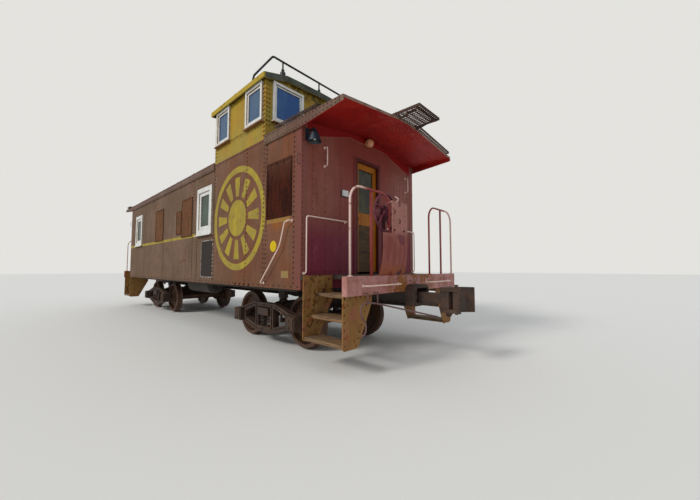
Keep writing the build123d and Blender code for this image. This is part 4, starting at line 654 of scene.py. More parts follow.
def lamp_enamel():
    """The lamps: dark blue green enamel on the bell shades, and peach opal glass on the globe over the
    door."""
    skin = Skin("enamel_and_opal_glass", Coat_Weight=0.25, Coat_Roughness=0.2, Roughness=0.38)
    dust = skin.patches(40, 0.45, 0.75)
    globe = skin.coats("#c98a62", ("#a8714f", dust, 0.4))
    colour = skin.coats("#142734", ("#46525a", dust, 0.25), (globe, skin.between(skin.across, high=0.3)))
    return skin.lay(colour, (dust, 0.0003))


def rivet_iron(name, dark, bare):
    """Button rivet heads that have rusted through their paint: small, rough and nearly black brown."""
    skin = Skin(name, Specular_IOR_Level=0.12, Roughness=0.9)
    colour = skin.coats(dark, (bare, skin.patches(60, 0.45, 0.6)))
    return skin.lay(colour, (skin.patches(6, 0.3, 0.7), 0.0006))


def sill_paint():
    """Faded pink red paint on the end sill channel, flaked to ochre primer and rust beside the coupler."""
    skin = Skin("faded_pink_red_on_channel", Specular_IOR_Level=0.25)
    near = add(skin.tree, "ShaderNodeMapRange", None, {
        "Value": skin.across, "From Min": 0.75, "From Max": 0.35, "To Min": 0.25, "To Max": 1.0}).outputs[0]
    colour = skin.coats(skin.weathered("#a9716d", "#b98680", "#7f5048", "#6d3c1f", 0.45),
                        ("#8a5526", skin.patches(150, 0.42, 0.55, seed=8.0), near),
                        ("#4a2a17", skin.patches(60, 0.56, 0.64, seed=1.0), near))
    return skin.finish(colour, skin.spots, 0.6, 0.88)


def stand_paint():
    """Paint on the brake stand's plates: faded pink brown above, maroon on the curved sheets, orange rust
    where they meet the deck."""
    skin = Skin("faded_maroon_on_plate", Specular_IOR_Level=0.25)
    maroon = skin.coats("#7c3a34", ("#8d4a3f", skin.patches(140, 0.4, 0.6, (1, 1, 0.4))))
    foot = skin.between(skin.z, high=FLOOR_Z + 0.13, soft=0.06)
    colour = skin.coats(skin.weathered("#9f685f", "#ab776c", "#794a44", "#5a2f24", 0.25),
                        (maroon, skin.between(skin.z, high=EAVE_Z - 1.63, soft=0.05)),
                        ("#8a4a24", foot, skin.patches(60, 0.4, 0.55, seed=2.0)))
    return skin.finish(colour, skin.spots, 0.55, 0.88)


def brake_paint():
    """Faded purple paint on the brake wheel, and dark maroon on the gear case and post behind it."""
    skin = Skin("faded_purple_on_brake_wheel", Specular_IOR_Level=0.3)
    rim = skin.coats("#743549", ("#56212e", skin.patches(50, 0.4, 0.62)))
    colour = skin.coats(skin.weathered("#4a1c23", "#5a282c", "#2e161c", "#43241e", 0.3),
                        (rim, skin.between(skin.along, SILL_X - 0.100)))
    return skin.finish(colour, skin.spots, 0.5, 0.85)


def step_paint():
    """Ochre primer on the step plates, rusted through in brown and orange, with traces of the pink
    topcoat."""
    skin = Skin("ochre_primer_on_step_plate", Specular_IOR_Level=0.2)
    colour = skin.coats(skin.weathered("#8b6231", "#96713f", "#664726", "#53321a", 0.6),
                        ("#9c5548", skin.patches(190, 0.54, 0.66, seed=2.4), 0.6),
                        ("#8c4a1c", skin.patches(120, 0.55, 0.66, seed=6.4), 0.8),
                        ("#35200f", skin.patches(40, 0.64, 0.7, seed=9.1), 0.8))
    return skin.finish(colour, skin.spots, 0.6, 0.9)


def make_finishes():
    """All materials of the car by a short name."""
    finishes = {
        "side": side_paint(), "end": end_paint(), "roof": roof_paint(), "cupola": cupola_paint(),
        "cupola_roof": cupola_roof_paint(), "white": white_paint(), "plate": rusted_plate(),
        "door": door_timber(), "tread": tread_timber(), "rail": rail_paint(), "glass": glass(),
        "cast": cast_steel(), "wheel": wheel_steel(), "sill": sill_paint(), "stand": stand_paint(),
        "lamps": lamp_enamel(), "step": step_paint(), "brake": brake_paint(),
        "bulb": enamel("frosted_bulb_glass", "#e8e2d2", 0.3),
        "box": enamel("white_moulded_box", "#d8d8d6", 0.5),
    }
    # Fresh and faded paint, grime, rust, how much of it is rusted, and the roughness where it isn't
    for key, *recipe in (
            ("lever", "purple_grey_on_lever", "#6a4c4c", "#7d5a58", "#4a3535", "#4d3326", 0.35),
            ("grab", "pink_white_on_handhold", "#dfbfb2", "#e6cdc0", "#c0998c", "#8a5240", 0.25),
            ("frame", "dirty_black_on_underframe", "#35302c", "#463d36", "#28231f", "#4a3324", 0.4, 0.7),
            ("pipe", "black_enamel_on_pipe", "#26282b", "#343436", "#1e1d1f", "#453124", 0.25, 0.4),
            ("grating", "rusted_galvanised_grating", "#3f2a20", "#523a2e", "#2c1d17", "#57301c", 0.5, 0.7)):
        finishes[key] = flaked_paint(*recipe)
    for key, dark, bare in (("side", "#33201a", "#4d2c1e"), ("cupola", "#3a2c12", "#5c4119"),
                            ("end", "#4f2825", "#64352f"), ("step", "#2a1a10", "#4a2c18")):
        finishes[key + "_rivet"] = rivet_iron(key + "_rivet_iron", dark, bare)
    return finishes


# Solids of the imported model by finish; the others take the underframe's
SOLID_FINISH = {
    "side": "side_wall_left side_wall_right", "end": "end_wall_a end_wall_b", "roof": "roof_a roof_b",
    "cupola": "cupola_side_left cupola_side_right cupola_end_a cupola_end_b", "cupola_roof": "cupola_roof",
    "white": "window_frames", "glass": "window_glass door_pane_a door_pane_b", "plate": "window_covers",
    "grating": "running_boards", "pipe": "cupola_handrail smoke_stack", "sill": "end_sills",
    "step": "step_frames", "tread": "step_treads", "rail": "end_railings", "stand": "brake_stands",
    "brake": "brake_wheels", "grab": "grab_irons", "lever": "uncoupling_levers", "lamps": "end_lamps",
    "door": "door_a door_b", "wheel": "wheelset_a1 wheelset_a2 wheelset_b1 wheelset_b2",
    "cast": "coupler_a coupler_b knuckle_a knuckle_b strikers truck_bolster_a truck_bolster_b "
            "truck_side_frames_a truck_side_frames_b truck_springs_a truck_springs_b "
            "brake_gear_a brake_gear_b",
}
FINISH = {}


def length(name, description, default):
    """A length that can be set in the panel."""
    return bpy.props.FloatProperty(name=name, description=description, default=default, subtype="DISTANCE",
                                   unit="LENGTH")


class CaboosePaint(bpy.types.PropertyGroup):
    """The painted marks on the sides."""
    roundel_x: length("Roundel place", "Middle of the roundel along the car", 2.862)
    roundel_z: length("Roundel height", "Middle of the roundel above the ground", 2.208)
    roundel_radius: length("Roundel radius", "Outer radius of the roundel", 0.922)


class CabooseFasteners(bpy.types.PropertyGroup):
    """Rivets and bolts of the body."""
    rivet_radius: length("Rivet radius", "Radius of a rivet head", 0.0135)
    rivet_height: length("Rivet height", "Height of a rivet head", 0.008)
    rivet_pitch: length("Rivet pitch", "Distance between rivets in a seam", 0.072)


class CabooseStage(bpy.types.PropertyGroup):
    """Floor, light and camera."""
    floor_colour: bpy.props.FloatVectorProperty(
        name="Floor", description="Colour of the floor and backdrop", size=3, default=linear("#e6e5e1"),
        subtype="COLOR", min=0, max=1)
    key_strength: bpy.props.FloatProperty(
        name="Key light", description="Strength of the soft key light", default=1.5)
    fill_strength: bpy.props.FloatProperty(
        name="Fill light", description="Strength of the even light all round", default=0.68)


class CABOOSE_OT_paint_frame(bpy.types.Operator):
    """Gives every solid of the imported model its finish."""
    bl_idname = "caboose.paint_frame"
    bl_label = "Paint the solids"

    def execute(self, context):
        FINISH.update(make_finishes())
        finish_of = {name: key for key, names in SOLID_FINISH.items() for name in names.split()}
        for name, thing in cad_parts.items():
            thing.data.materials.clear()
            thing.data.materials.append(FINISH[finish_of.get(name, "frame")])
        return {"FINISHED"}


def side_rivet_places(pitch):
    """Rivets of the left side: the columns of each seam, a row low down, and a row under the cupola."""
    y, low, high = -SIDE_Y, SKIRT_Z + 0.04, FASCIA_LOW_Z - 0.02
    places = []
    for x, spacing in SEAMS:
        for off in ((-spacing, spacing) if spacing else (0.018,)):
            top = EAVE_Z - 0.06 if CUPOLA_BACK < x + off < CUPOLA_FRONT else high
            places.append(line((x + off, y, low + 0.05), (x + off, y, top), pitch))
    places.append(line((-END_X + 0.06, y, low), (END_X - 0.06, y, low), 2 * pitch))
    under = EAVE_Z - 0.07
    places.append(line((CUPOLA_BACK + 0.09, y, under), (CUPOLA_FRONT - 0.07, y, under), pitch))
    return np.concatenate(places)


def cupola_rivet_places(pitch):
    """Rivets of the cupola's left side: corner columns, rows under the windows and one under the eave."""
    y, low = -SIDE_Y, EAVE_Z + 0.03
    places = [line((x, y, low), (x, y, CUPOLA_RIVET_TOP), pitch) for x in
              (CUPOLA_BACK + 0.028, CUPOLA_BACK + 0.078, CUPOLA_FRONT - 0.055, CUPOLA_FRONT - 0.02)]
    places += [line((CUPOLA_BACK + 0.13, y, z), (CUPOLA_FRONT - 0.1, y, z), pitch) for z in (3.683, 4.40)]
    return np.concatenate(places)


def cupola_end_rivet_places(pitch):
    """Rivets of the cupola's A end: two columns at each corner and a row under the windows."""
    x = CUPOLA_FRONT
    places = [line((x, y, RIDGE_Z + 0.05), (x, y, CUPOLA_RIVET_TOP), pitch)
              for y in (-1.41, -1.365, 1.365, 1.41)]
    places.append(line((x, -1.3, 3.70), (x, 1.3, 3.70), pitch))
    return np.concatenate(places)


def end_rivet_places(pitch):
    """Rivets of the right half of the A end's wall: the corner angle, the laps of the sheets and the
    foot."""
    low = FLOOR_Z + 0.05
    places = [line((END_X + 0.004, 1.41, 1.07), (END_X + 0.004, 1.41, EAVE_Z - 0.18), pitch)]
    places += [line((END_X, y, low), (END_X, y, 3.15), 1.5 * pitch) for y in (0.655, 0.975, 1.225)]
    places.append(line((END_X, 0.47, low), (END_X, 1.33, low), 1.5 * pitch))
    return np.concatenate(places)


def eave_rivet_places(pitch):
    """Rivets of the left eave fascias: a row near the top and one that follows the lower edge."""
    places = []
    for x0, x1 in ((CUPOLA_FRONT + 0.05, ROOF_TIP_X - 0.06), (0.06 - ROOF_TIP_X, CUPOLA_BACK - 0.05)):
        top = line((x0, -FASCIA_Y, EAVE_Z - 0.022), (x1, -FASCIA_Y, EAVE_Z - 0.022), pitch)
        past = np.clip((np.abs(top[:, 0]) - END_X) / (ROOF_TIP_X - END_X), 0, 1)
        low = np.stack([top[:, 0], top[:, 1], FASCIA_LOW_Z + 0.024 + past * FASCIA_TAPER], -1)
        places += [top, low]
    return np.concatenate(places)


class CABOOSE_OT_rivets(bpy.types.Operator):
    """Rivet heads along the seams of the sides, ends, cupola, eaves and end sills."""
    bl_idname = "caboose.rivets"
    bl_label = "Rivets"

    def execute(self, context):
        kit = context.scene.caboose_fasteners
        size, pitch = np.array((kit.rivet_radius, kit.rivet_height)), kit.rivet_pitch
        piece("side_rivets", both_sides(heads(side_rivet_places(pitch), LEFT, *size)), "side_rivet")
        bolts = line((2.842, -SIDE_Y, SKIRT_Z + 0.025), (3.303, -SIDE_Y, SKIRT_Z + 0.025), 0.154)
        piece("skirt_bolts", both_sides(heads(bolts, LEFT, 0.022, 0.014, 10)), "side_rivet")
        front = cupola_end_rivet_places(pitch)
        back = front * (0, 1, 1) + (CUPOLA_BACK, 0, 0)
        parts = both_sides(heads(cupola_rivet_places(pitch), LEFT, *size))
        parts += [heads(front, AHEAD, *size), heads(back, (-1, 0, 0), *size)]
        piece("cupola_rivets", parts, "cupola_rivet")
        wall = both_sides(heads(end_rivet_places(pitch), AHEAD, *0.7 * size))
        piece("end_rivets", both_ends(*wall), "end_rivet")
        piece("eave_rivets", both_sides(heads(eave_rivet_places(pitch), LEFT, *0.8 * size)), "side_rivet")
        sill = np.concatenate([line((SILL_X, y, z), (SILL_X, y + 0.16, z), 0.08)
                               for y in (-1.40, -0.50, 0.34, 1.24)
                               for z in (SILL_LOW_Z + 0.05, FLOOR_Z - 0.05)])
        piece("end_sill_rivets", both_ends(heads(sill, AHEAD, *size)), "sill")
        return {"FINISHED"}


def crimped(x0, x1, y0, y1, z_low, z_high):
    """Ribbons that zigzag between neighbouring bars of a grating: y swings from bar to bar every pitch
    along x, and each ribbon is a closed strip 3 mm thick and as deep as the bars."""
    steps = max(4, int((x1 - x0) / 0.045))
    steps += steps % 2
    x = np.linspace(x0, x1, steps + 1)
    swing = np.where(np.arange(steps + 1) % 2 == 0, y0, y1)
    half = 0.0015
    corners = [(-half, z_low), (half, z_low), (half, z_high), (-half, z_high)]
    points = np.stack([np.stack([x, swing + off, np.full_like(x, z)], -1) for off, z in corners], 1)
    return points.reshape(-1, 3), ring_faces(steps + 1, 4)


def ribbons(x0, x1, bars, wide, low, high):
    """Crimped ribbons in the gaps between bars of a width, given by the y of their lower edges."""
    return [crimped(x0, x1, a + wide, b, low, high) for a, b in zip(bars[:-1], bars[1:])]


def walk_deck():
    """The raised tread of the left walk before the cupola: bars along x with crimped ribbons between them
    and a toothed strip down each edge. It is laid flat, then set on the roof's slope: y = inward - edge and
    z = low + height + slope * inward."""
    x0, x1, wide, bar, low, top = 3.970, 4.950, 0.264, 0.007, 0.033, 0.051
    edge_y, low_z, slope = 1.405, EAVE_Z + 0.059, 0.1226
    strip, tooth, foot = 0.009, 0.016, 0.016
    bars = np.linspace(0, wide - bar, 6)
    parts = [boxes([(x0, y, low) for y in bars], [(x1, y + bar, top) for y in bars])]
    parts += [boxes([(x, bar, low)], [(x + bar, wide - bar, top)]) for x in (x0, x1 - bar)]
    teeth = np.arange(x0, x1 - tooth, 0.046)
    for y in (0.0, wide - bar):
        parts.append(boxes([(x0, y, 0.0)], [(x1, y + bar, strip)]))
        parts.append(boxes([(x, y, strip) for x in teeth], [(x + tooth, y + bar, low) for x in teeth]))
    parts += ribbons(x0 + bar, x1 - bar, bars, bar, low + 0.006, top - 0.002)
    feet = np.array([4.06, 4.46, 4.86])
    for bottom, inner, head in ((-0.004, wide - bar, low), (-0.060, 0.045, -0.002)):
        parts += [boxes([(x - foot, strip, bottom)], [(x + foot, inner, head)]) for x in feet]
    points, faces = gathered(parts)
    x, inward, height = points.T
    return np.stack([x, inward - edge_y, low_z + height + slope * inward], -1), faces


class CABOOSE_OT_gratings(bpy.types.Operator):
    """Crimped ribbons between the bars of the ridge gratings, and the raised walks before the cupola."""
    bl_idname = "caboose.gratings"
    bl_label = "Grating ribbons"

    def execute(self, context):
        wide = 0.009
        bars = np.linspace(-0.2965, 0.2965, 13) - wide / 2
        for end, x0, x1 in (("a", CUPOLA_FRONT + 0.03, ROOF_TIP_X + 0.36),
                            ("b", -ROOF_TIP_X - 0.36, CUPOLA_BACK - 0.03)):
            parts = ribbons(x0, x1, bars, wide, GRATING_Z - 0.011, GRATING_Z - 0.002)
            piece("grating_ribbons_" + end, parts, "grating", smooth=False)
        piece("walk_decks", both_sides(walk_deck()), "grating", smooth=False)
        return {"FINISHED"}


def coil(place, radius, wire, turns, height):
    """A compression spring: a tube round a helix whose rise eases to flat at both ends."""
    t = np.linspace(0, 1, turns * 20 + 1)
    rise = wire + (height - 2 * wire) * (t - np.sin(4 * math.pi * t) / (4 * math.pi) * 0.35)
    turn = t * 2 * math.pi * turns
    path = np.stack([radius * np.cos(turn), radius * np.sin(turn), rise], -1) + place
    ahead = np.gradient(path, axis=0)
    ahead /= np.linalg.norm(ahead, axis=1, keepdims=True)
    out = np.stack([np.cos(turn), np.sin(turn), np.zeros_like(turn)], -1)
    over = np.cross(ahead, out)
    over /= np.linalg.norm(over, axis=1, keepdims=True)
    ring = np.arange(8) * math.pi / 4
    points = path[:, None] + wire * (np.cos(ring)[None, :, None] * out[:, None] +
                                     np.sin(ring)[None, :, None] * over[:, None])
    return points.reshape(-1, 3), inside_out(ring_faces(len(path), 8))


class CABOOSE_OT_springs(bpy.types.Operator):
    """Coil springs of the trucks in place of their stand-ins."""
    bl_idname = "caboose.springs"
    bl_label = "Truck springs"

    def execute(self, context):
        for end, way in ENDS:
            low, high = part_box("truck_springs_" + end)
            parts = [coil((way * TRUCK_X + x, y, low.z), 0.047, 0.0125, 5, high.z - low.z)
                     for x in (-0.095, 0.095) for y in (-FRAME_Y, FRAME_Y)]
            springs = piece("coil_springs_" + end, parts, "cast", "truck_" + end)
            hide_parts("truck_springs_" + end)
        return {"FINISHED"}


class CABOOSE_OT_truck_fittings(bpy.types.Operator):
    """Nuts, lid springs and hinge lugs on the journal boxes and frames of both trucks."""
    bl_idname = "caboose.truck_fittings"
    bl_label = "Truck fittings"

    def execute(self, context):
        face_y = FRAME_Y + 0.06
        lid_y = face_y + 0.078
        parts = []
        for x in (TRUCK_X - HALF_WHEELBASE, TRUCK_X + HALF_WHEELBASE):
            corners = [(x + dx, -face_y - 0.062, AXLE_Z + dz)
                       for dx in (-0.098, 0.098) for dz in (-0.08, 0.09)]
            parts.append(nuts(corners, LEFT, 0.032, 0.016))
            parts.append(lathe([(0.045, 0), (0.045, 0.004), (0.038, 0.008), (0.02, 0.011)],
                               (x, -lid_y, AXLE_Z - 0.005), LEFT, 20))
            parts.append(boxes([(x - 0.012, -lid_y - 0.012, AXLE_Z - 0.07)],
                               [(x + 0.012, -lid_y, AXLE_Z + 0.075)]))
        column = [(TRUCK_X + dx, -face_y, AXLE_Z + dz)
                  for dx in (-0.245, 0.245) for dz in (-0.09, 0.05, 0.17)]
        parts.append(nuts(column, LEFT, 0.036, 0.018))
        for end, way in ENDS:
            piece("truck_fittings_" + end, at_end(way, both_sides(*parts)), "cast", "truck_" + end,
                  smooth=False)
        return {"FINISHED"}


def step_rivet_places():
    """Rivets down both edges of the left step's outer cheek plate, and across its head under the end
    sill."""
    x, low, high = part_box("step_frames")[1].x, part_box("step_frames")[0].z, SILL_LOW_Z
    outer, inner = (-SIDE_Y + 0.045, -SIDE_Y + 0.32), (-SIDE_Y + 0.045, -SIDE_Y + 0.52)
    return np.concatenate([line((x, outer[0], low + 0.06), (x, inner[0], high - 0.04), 0.085),
                           line((x, outer[1] - 0.07, low + 0.04), (x, inner[1] - 0.04, high - 0.06), 0.085),
                           line((x, outer[0], high - 0.025), (x, inner[1], high - 0.025), 0.095)])


def carrier_nut_places():
    """Nuts up both flanges of the A end's coupler carrier."""
    low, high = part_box("strikers")
    return np.concatenate([line((high.x, y, low.z + 0.05), (high.x, y, high.z - 0.09), 0.11)
                           for y in (-0.182, 0.182)])


def coupler_fittings():
    """Ribs, pin nut, cotter and lock lifter of the A end's coupler head."""
    low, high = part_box("coupler_a")
    face_x, middle_z, pin_y = SILL_X + 0.835, (low.z + 0.015 + high.z - 0.025) / 2, -0.135
    ribs = [boxes([(face_x - x0, y0, z)], [(face_x - x1, y1, z + 0.014)])
            for z in (middle_z - 0.115, middle_z + 0.105)
            for x0, y0, x1, y1 in ((0.305, -0.200, 0.215, -0.188), (0.325, 0.115, 0.205, 0.158))]
    nut = nuts([(face_x - 0.105, pin_y, high.z)], UP, 0.046, 0.016)
    cotter = tube([(face_x - back, pin_y, high.z + 0.008) for back in (0.140, 0.070)], 0.004, 6)
    lifter = lathe([(0.016, 0.0), (0.030, 0.012), (0.046, 0.045), (0.058, 0.072)],
                   (face_x - 0.250, -0.05, middle_z - 0.235), UP, 16)
    return [*ribs, nut, cotter, lifter]


def stand_fittings():
    """Loops, rivets and bolts of the A end's brake stand, and its hook: an arch x = 0.018 sin t, z = 0.026
    cos t for each loop, and a rod that leans out and back as it climbs, x = 0.045 sin (pi u), for the
    hook."""
    t = np.linspace(0, math.pi, 9)
    arch = np.stack([0.018 * np.sin(t), np.zeros_like(t), 0.026 * np.cos(t)], -1)
    loops = [tube(arch + (STAND_X, y, z), 0.0055, 8)
             for y, z in ((-0.425, 2.215), (-0.425, 1.975), (-0.545, 2.10))]
    columns = np.concatenate([line((STAND_X, y, 1.815), (STAND_X, y, 2.225), 0.082)
                              for y in (-0.570, -0.292)])
    bolts = nuts([(STAND_X, y, 1.845) for y in (-0.545, -0.315)], AHEAD, 0.028, 0.014)
    u = np.linspace(0, 1, 12)
    hook = np.stack([0.045 * np.sin(math.pi * u), -0.02 * u, 0.075 * u], -1)
    rod = tube(hook + (STAND_X - 0.006, -0.496, 2.235), 0.006, 8)
    return [*loops, heads(columns, AHEAD, 0.008, 0.005), bolts], rod


class CABOOSE_OT_end_fittings(bpy.types.Operator):
    """Small parts of the ends: corner angles, lamp bulbs, the box by the door on a dark plate that is its
    frame and a painted shadow behind it, and the stand's loops, bolts and hook."""
    bl_idname = "caboose.end_fittings"
    bl_label = "End fittings"

    def execute(self, context):
        for end, way in ENDS:
            piece("coupler_fittings_" + end, at_end(way, coupler_fittings()), "cast", "coupler_body_" + end,
                  smooth=False)
        steps = both_sides(heads(step_rivet_places(), AHEAD, 0.010, 0.006))
        piece("step_rivets", both_ends(*steps), "step_rivet")
        carrier = nuts(carrier_nut_places(), AHEAD, 0.034, 0.018)
        piece("coupler_carrier_nuts", both_ends(carrier), "cast", smooth=False)
        leg, thick = 0.11, 0.004
        angle = boxes([(END_X, -SIDE_Y, SKIRT_Z + 0.01)], [(END_X + thick, leg - SIDE_Y, EAVE_Z - 0.16)])
        piece("corner_angles", both_ends(*both_sides(angle)), "end", smooth=False)
        profile = ((0.002, 0.02), (0.022, 0.03), (0.031, 0.055), (0.026, 0.09), (0.014, 0.12), (0.014, 0.16))
        bulb = lathe(profile, (END_X + 0.125, -SIDE_Y + 0.135, EAVE_Z - 0.345), UP, 20)
        piece("lamp_bulbs", both_ends(bulb), "bulb")
        y0, y1, z0, z1, deep = -0.640, -0.518, 2.448, 2.542, 0.034
        rim, plate = 0.012, 0.006
        box = boxes([(END_X + plate, y0, z0)], [(END_X + plate + deep, y1, z1)])
        piece("wall_boxes", both_ends(box), "box", smooth=False, bevel=0.006)
        # A dark plate round the box: its frame, and a painted shadow behind it
        back = boxes([(END_X, y0 - rim, z0 - rim)], [(END_X + plate, y1 + rim, z1 + rim)])
        piece("wall_box_frames_and_shadows", both_ends(back), "pipe", smooth=False)
        loops, hook = stand_fittings()
        piece("stand_loops", both_ends(*loops), "end_rivet")
        piece("stand_hooks", both_ends(hook), "grab")
        return {"FINISHED"}


def bent(corners, steps=6):
    """A smooth bend through corners: between neighbours b and c of a, b, c, d, point = (2 b + (c - a) t +
    (2 a - 5 b + 4 c - d) t^2 + (3 b - 3 c + d - a) t^3) / 2."""
    corners = np.asarray(corners, float)
    a, b, c, d = (corners[n:len(corners) - 3 + n, None] for n in range(4))
    t = np.linspace(0, 1, steps, endpoint=False)[None, :, None]
    square, cube = 2 * a - 5 * b + 4 * c - d, 3 * b - 3 * c + d - a
    points = (2 * b + (c - a) * t + square * t ** 2 + cube * t ** 3) / 2
    return np.concatenate([points.reshape(-1, 3), corners[-2:-1]])


def railing_hoop():
    """The left railing of the A end: a pipe whose two top corners turn on quarter circles,
    point = middle + bend * (cos u, sin u), over foot flanges and a flat middle post."""
    x, outer, inner, top = SILL_X - 0.022, -1.358, -0.552, FLOOR_Z + 1.115
    bend, radius, post_x, post_y = 0.19, 0.0145, 0.006, 0.024
    turn = np.linspace(0, math.pi / 2, 9)
    left = np.stack([outer + bend - bend * np.cos(turn), top - bend + bend * np.sin(turn)], -1)
    right = np.stack([inner - bend + bend * np.sin(turn), top - bend + bend * np.cos(turn)], -1)
    line_yz = np.concatenate([[(outer, FLOOR_Z)], left, right, [(inner, FLOOR_Z)]])
    pipe = tube(np.insert(line_yz, 0, x, axis=1), radius, 12)
    middle = (outer + inner) / 2
    post = boxes([(x - post_x, middle - post_y, FLOOR_Z)], [(x + post_x, middle + post_y, top)])
    flanges = [lathe([(0.034, 0.0), (0.034, 0.006), (0.020, 0.012)], (x, y, FLOOR_Z), UP, 16)
               for y in (outer, inner)]
    return gathered([pipe, post] + flanges)


def cut_lever():
    """The uncoupling lever of the A end: one rod, bent to a looped hand grip at the side, which hangs from
    two clips on the sill and slopes to the lifter of the coupler."""
    x = SILL_X + 0.055
    grip = [(-1.260, 0.480), (-1.233, 0.511), (-1.174, 0.549), (-1.161, 0.606), (-1.168, 0.666),
            (-1.203, 0.704), (-1.239, 0.745), (-1.252, 0.805), (-1.244, 0.869), (-1.186, 0.898),
            (-1.081, 0.895), (-0.993, 0.888), (-0.902, 0.871)]
    path = [(x, y, z) for y, z in grip]
    path += [(x + 0.09, -0.772, 0.834), (6.060, -0.235, 0.683), (6.075, -0.215, 0.678)]
    hangers, top, thick, wide = ((-0.930, 0.861), (-1.120, 0.880)), SILL_LOW_Z + 0.030, 0.008, 0.022
    lows = [(x - thick / 2, y - wide / 2, low) for y, low in hangers]
    lows += [(SILL_X - thick / 2, y - wide / 2, top - thick) for y, _ in hangers]
    clips = boxes(lows, [(x + thick / 2, y + wide / 2, top) for y, _ in hangers] * 2)
    return gathered([tube(bent(path), 0.0105, 8), clips])


class CABOOSE_OT_pipework(bpy.types.Operator):
    """Platform railings and uncoupling levers, bent from pipe and rod of their real gauge."""
    bl_idname = "caboose.pipework"
    bl_label = "Railings and levers"

    def execute(self, context):
        rails = piece("pipe_railings", both_ends(*both_sides(railing_hoop())), "rail")
        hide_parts("end_railings")
        levers = piece("bent_levers", both_ends(cut_lever()), "lever")
        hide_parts("uncoupling_levers")
        return {"FINISHED"}


class CABOOSE_OT_side_fittings(bpy.types.Operator):
    """Marker hooks at the corners and screws round the window covers."""
    bl_idname = "caboose.side_fittings"
    bl_label = "Side fittings"

    def execute(self, context):
        bend = ((0.0, 2.905), (0.03, 2.900), (0.045, 2.870), (0.045, 2.800), (0.034, 2.768), (0.0, 2.762))
        hook = tube([(END_X - 0.027, -SIDE_Y - out, z) for out, z in bend], 0.0045, 8)
        piece("marker_hooks", both_ends(*both_sides(hook)), "pipe")
        screws, y, inset, corner, pitch = [], -SIDE_Y - 0.012, 0.02, 0.08, 0.09
        for middle, sill, width, height in COVERS:
            left, right = middle - width / 2 + inset, middle + width / 2 - inset
            low, high = sill + inset, sill + height - inset
            rows = [((left, y, z), (right, y, z)) for z in (low, high)]
            rows += [((x, y, low + corner), (x, y, high - corner)) for x in (left, right)]
            screws += [heads(line(*row, pitch), LEFT, 0.008, 0.005) for row in rows]
        piece("cover_screws", both_sides(*screws), "side_rivet")
        return {"FINISHED"}


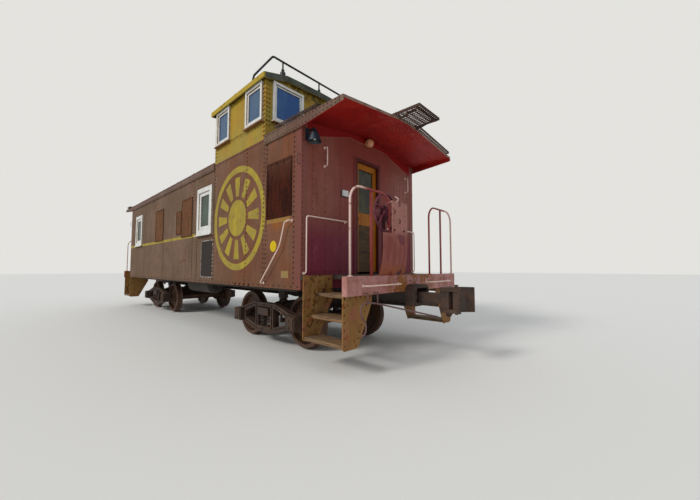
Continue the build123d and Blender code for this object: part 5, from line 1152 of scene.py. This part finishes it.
class CABOOSE_OT_stage(bpy.types.Operator):
    """Pale floor, soft light and the camera at the photograph's viewing angle."""
    bl_idname = "caboose.stage"
    bl_label = "Stage"

    def execute(self, context):
        stage = context.scene.caboose_stage
        colour = (*stage.floor_colour, 1.0)
        paper = Skin("matt_backdrop_paper", Roughness=0.9)
        paper.surface.inputs["Base Color"].default_value = colour
        mesh = bpy.data.meshes.new("floor")
        corners = [(x * FLOOR_REACH, y * FLOOR_REACH, -FLOOR_SUNK)
                   for x, y in ((-1, -1), (1, -1), (1, 1), (-1, 1))]
        mesh.from_pydata(corners, [], [(0, 1, 2, 3)])
        mesh.materials.append(paper.material)
        floor = bpy.data.objects.new("floor", mesh)
        world = bpy.data.worlds.new("studio")
        context.scene.world = world
        world.use_nodes = True
        tree = world.node_tree
        background = tree.nodes["Background"]
        background.inputs["Color"].default_value = rgba("#eef2f6")
        background.inputs["Strength"].default_value = stage.fill_strength
        plain = add(tree, "ShaderNodeBackground", None, {"Color": colour, "Strength": 0.98})
        seen = add(tree, "ShaderNodeLightPath").outputs["Is Camera Ray"]
        mix = add(tree, "ShaderNodeMixShader", None,
                  {0: seen, 1: background.outputs[0], 2: plain.outputs[0]})
        tree.links.new(mix.outputs[0], tree.nodes["World Output"].inputs["Surface"])
        key = bpy.data.lights.new("key", "SUN")
        key.energy = stage.key_strength
        key.angle = math.radians(14)
        key.color = (1.0, 0.97, 0.93)
        lamp = bpy.data.objects.new("key", key)
        lamp.rotation_mode = "QUATERNION"
        lamp.rotation_quaternion = Vector((0.16, 0.86, -0.62)).to_track_quat("-Z", "Y")
        lens = bpy.data.cameras.new("camera")
        lens.sensor_width = SENSOR_MM
        lens.lens = FOCAL_PX / FRAME_PX * SENSOR_MM
        lens.clip_end = 400
        camera = bpy.data.objects.new("camera", lens)
        camera.location = CAMERA_PLACE
        level = math.cos(CAMERA_PITCH)
        ahead = Vector((CAMERA_WAY[0] * level, CAMERA_WAY[1] * level, math.sin(CAMERA_PITCH)))
        camera.rotation_mode = "QUATERNION"
        camera.rotation_quaternion = ahead.to_track_quat("-Z", "Y")
        for thing in (floor, lamp, camera):
            context.scene.collection.objects.link(thing)
        context.scene.camera = camera
        context.scene.view_settings.view_transform = "Standard"
        return {"FINISHED"}


OPERATORS = (CABOOSE_OT_paint_frame, CABOOSE_OT_rivets, CABOOSE_OT_gratings, CABOOSE_OT_springs,
             CABOOSE_OT_truck_fittings, CABOOSE_OT_end_fittings, CABOOSE_OT_pipework,
             CABOOSE_OT_side_fittings, CABOOSE_OT_stage)
GROUPS = {"caboose_paint": CaboosePaint, "caboose_fasteners": CabooseFasteners,
          "caboose_stage": CabooseStage}


class CABOOSE_PT_panel(bpy.types.Panel):
    """Sizes, colours and steps of the caboose."""
    bl_idname = "CABOOSE_PT_panel"
    bl_label = "Caboose"
    bl_space_type = "VIEW_3D"
    bl_region_type = "UI"
    bl_category = "Caboose"

    def draw(self, context):
        for key, group in GROUPS.items():
            for name in group.__annotations__:
                self.layout.prop(getattr(context.scene, key), name)
        for operator in OPERATORS:
            self.layout.operator(operator.bl_idname)


def register():
    """Registers the property groups, operators and panel."""
    for name, group in GROUPS.items():
        bpy.utils.register_class(group)
        setattr(bpy.types.Scene, name, bpy.props.PointerProperty(type=group))
    for item in (*OPERATORS, CABOOSE_PT_panel):
        bpy.utils.register_class(item)


def unregister():
    """Takes them away again."""
    for item in (CABOOSE_PT_panel, *reversed(OPERATORS)):
        bpy.utils.unregister_class(item)
    for name, group in GROUPS.items():
        delattr(bpy.types.Scene, name)
        bpy.utils.unregister_class(group)


def main():
    register()
    for operator in OPERATORS:
        family, name = operator.bl_idname.split(".")
        getattr(getattr(bpy.ops, family), name)()


if __name__ == "__main__":
    main()
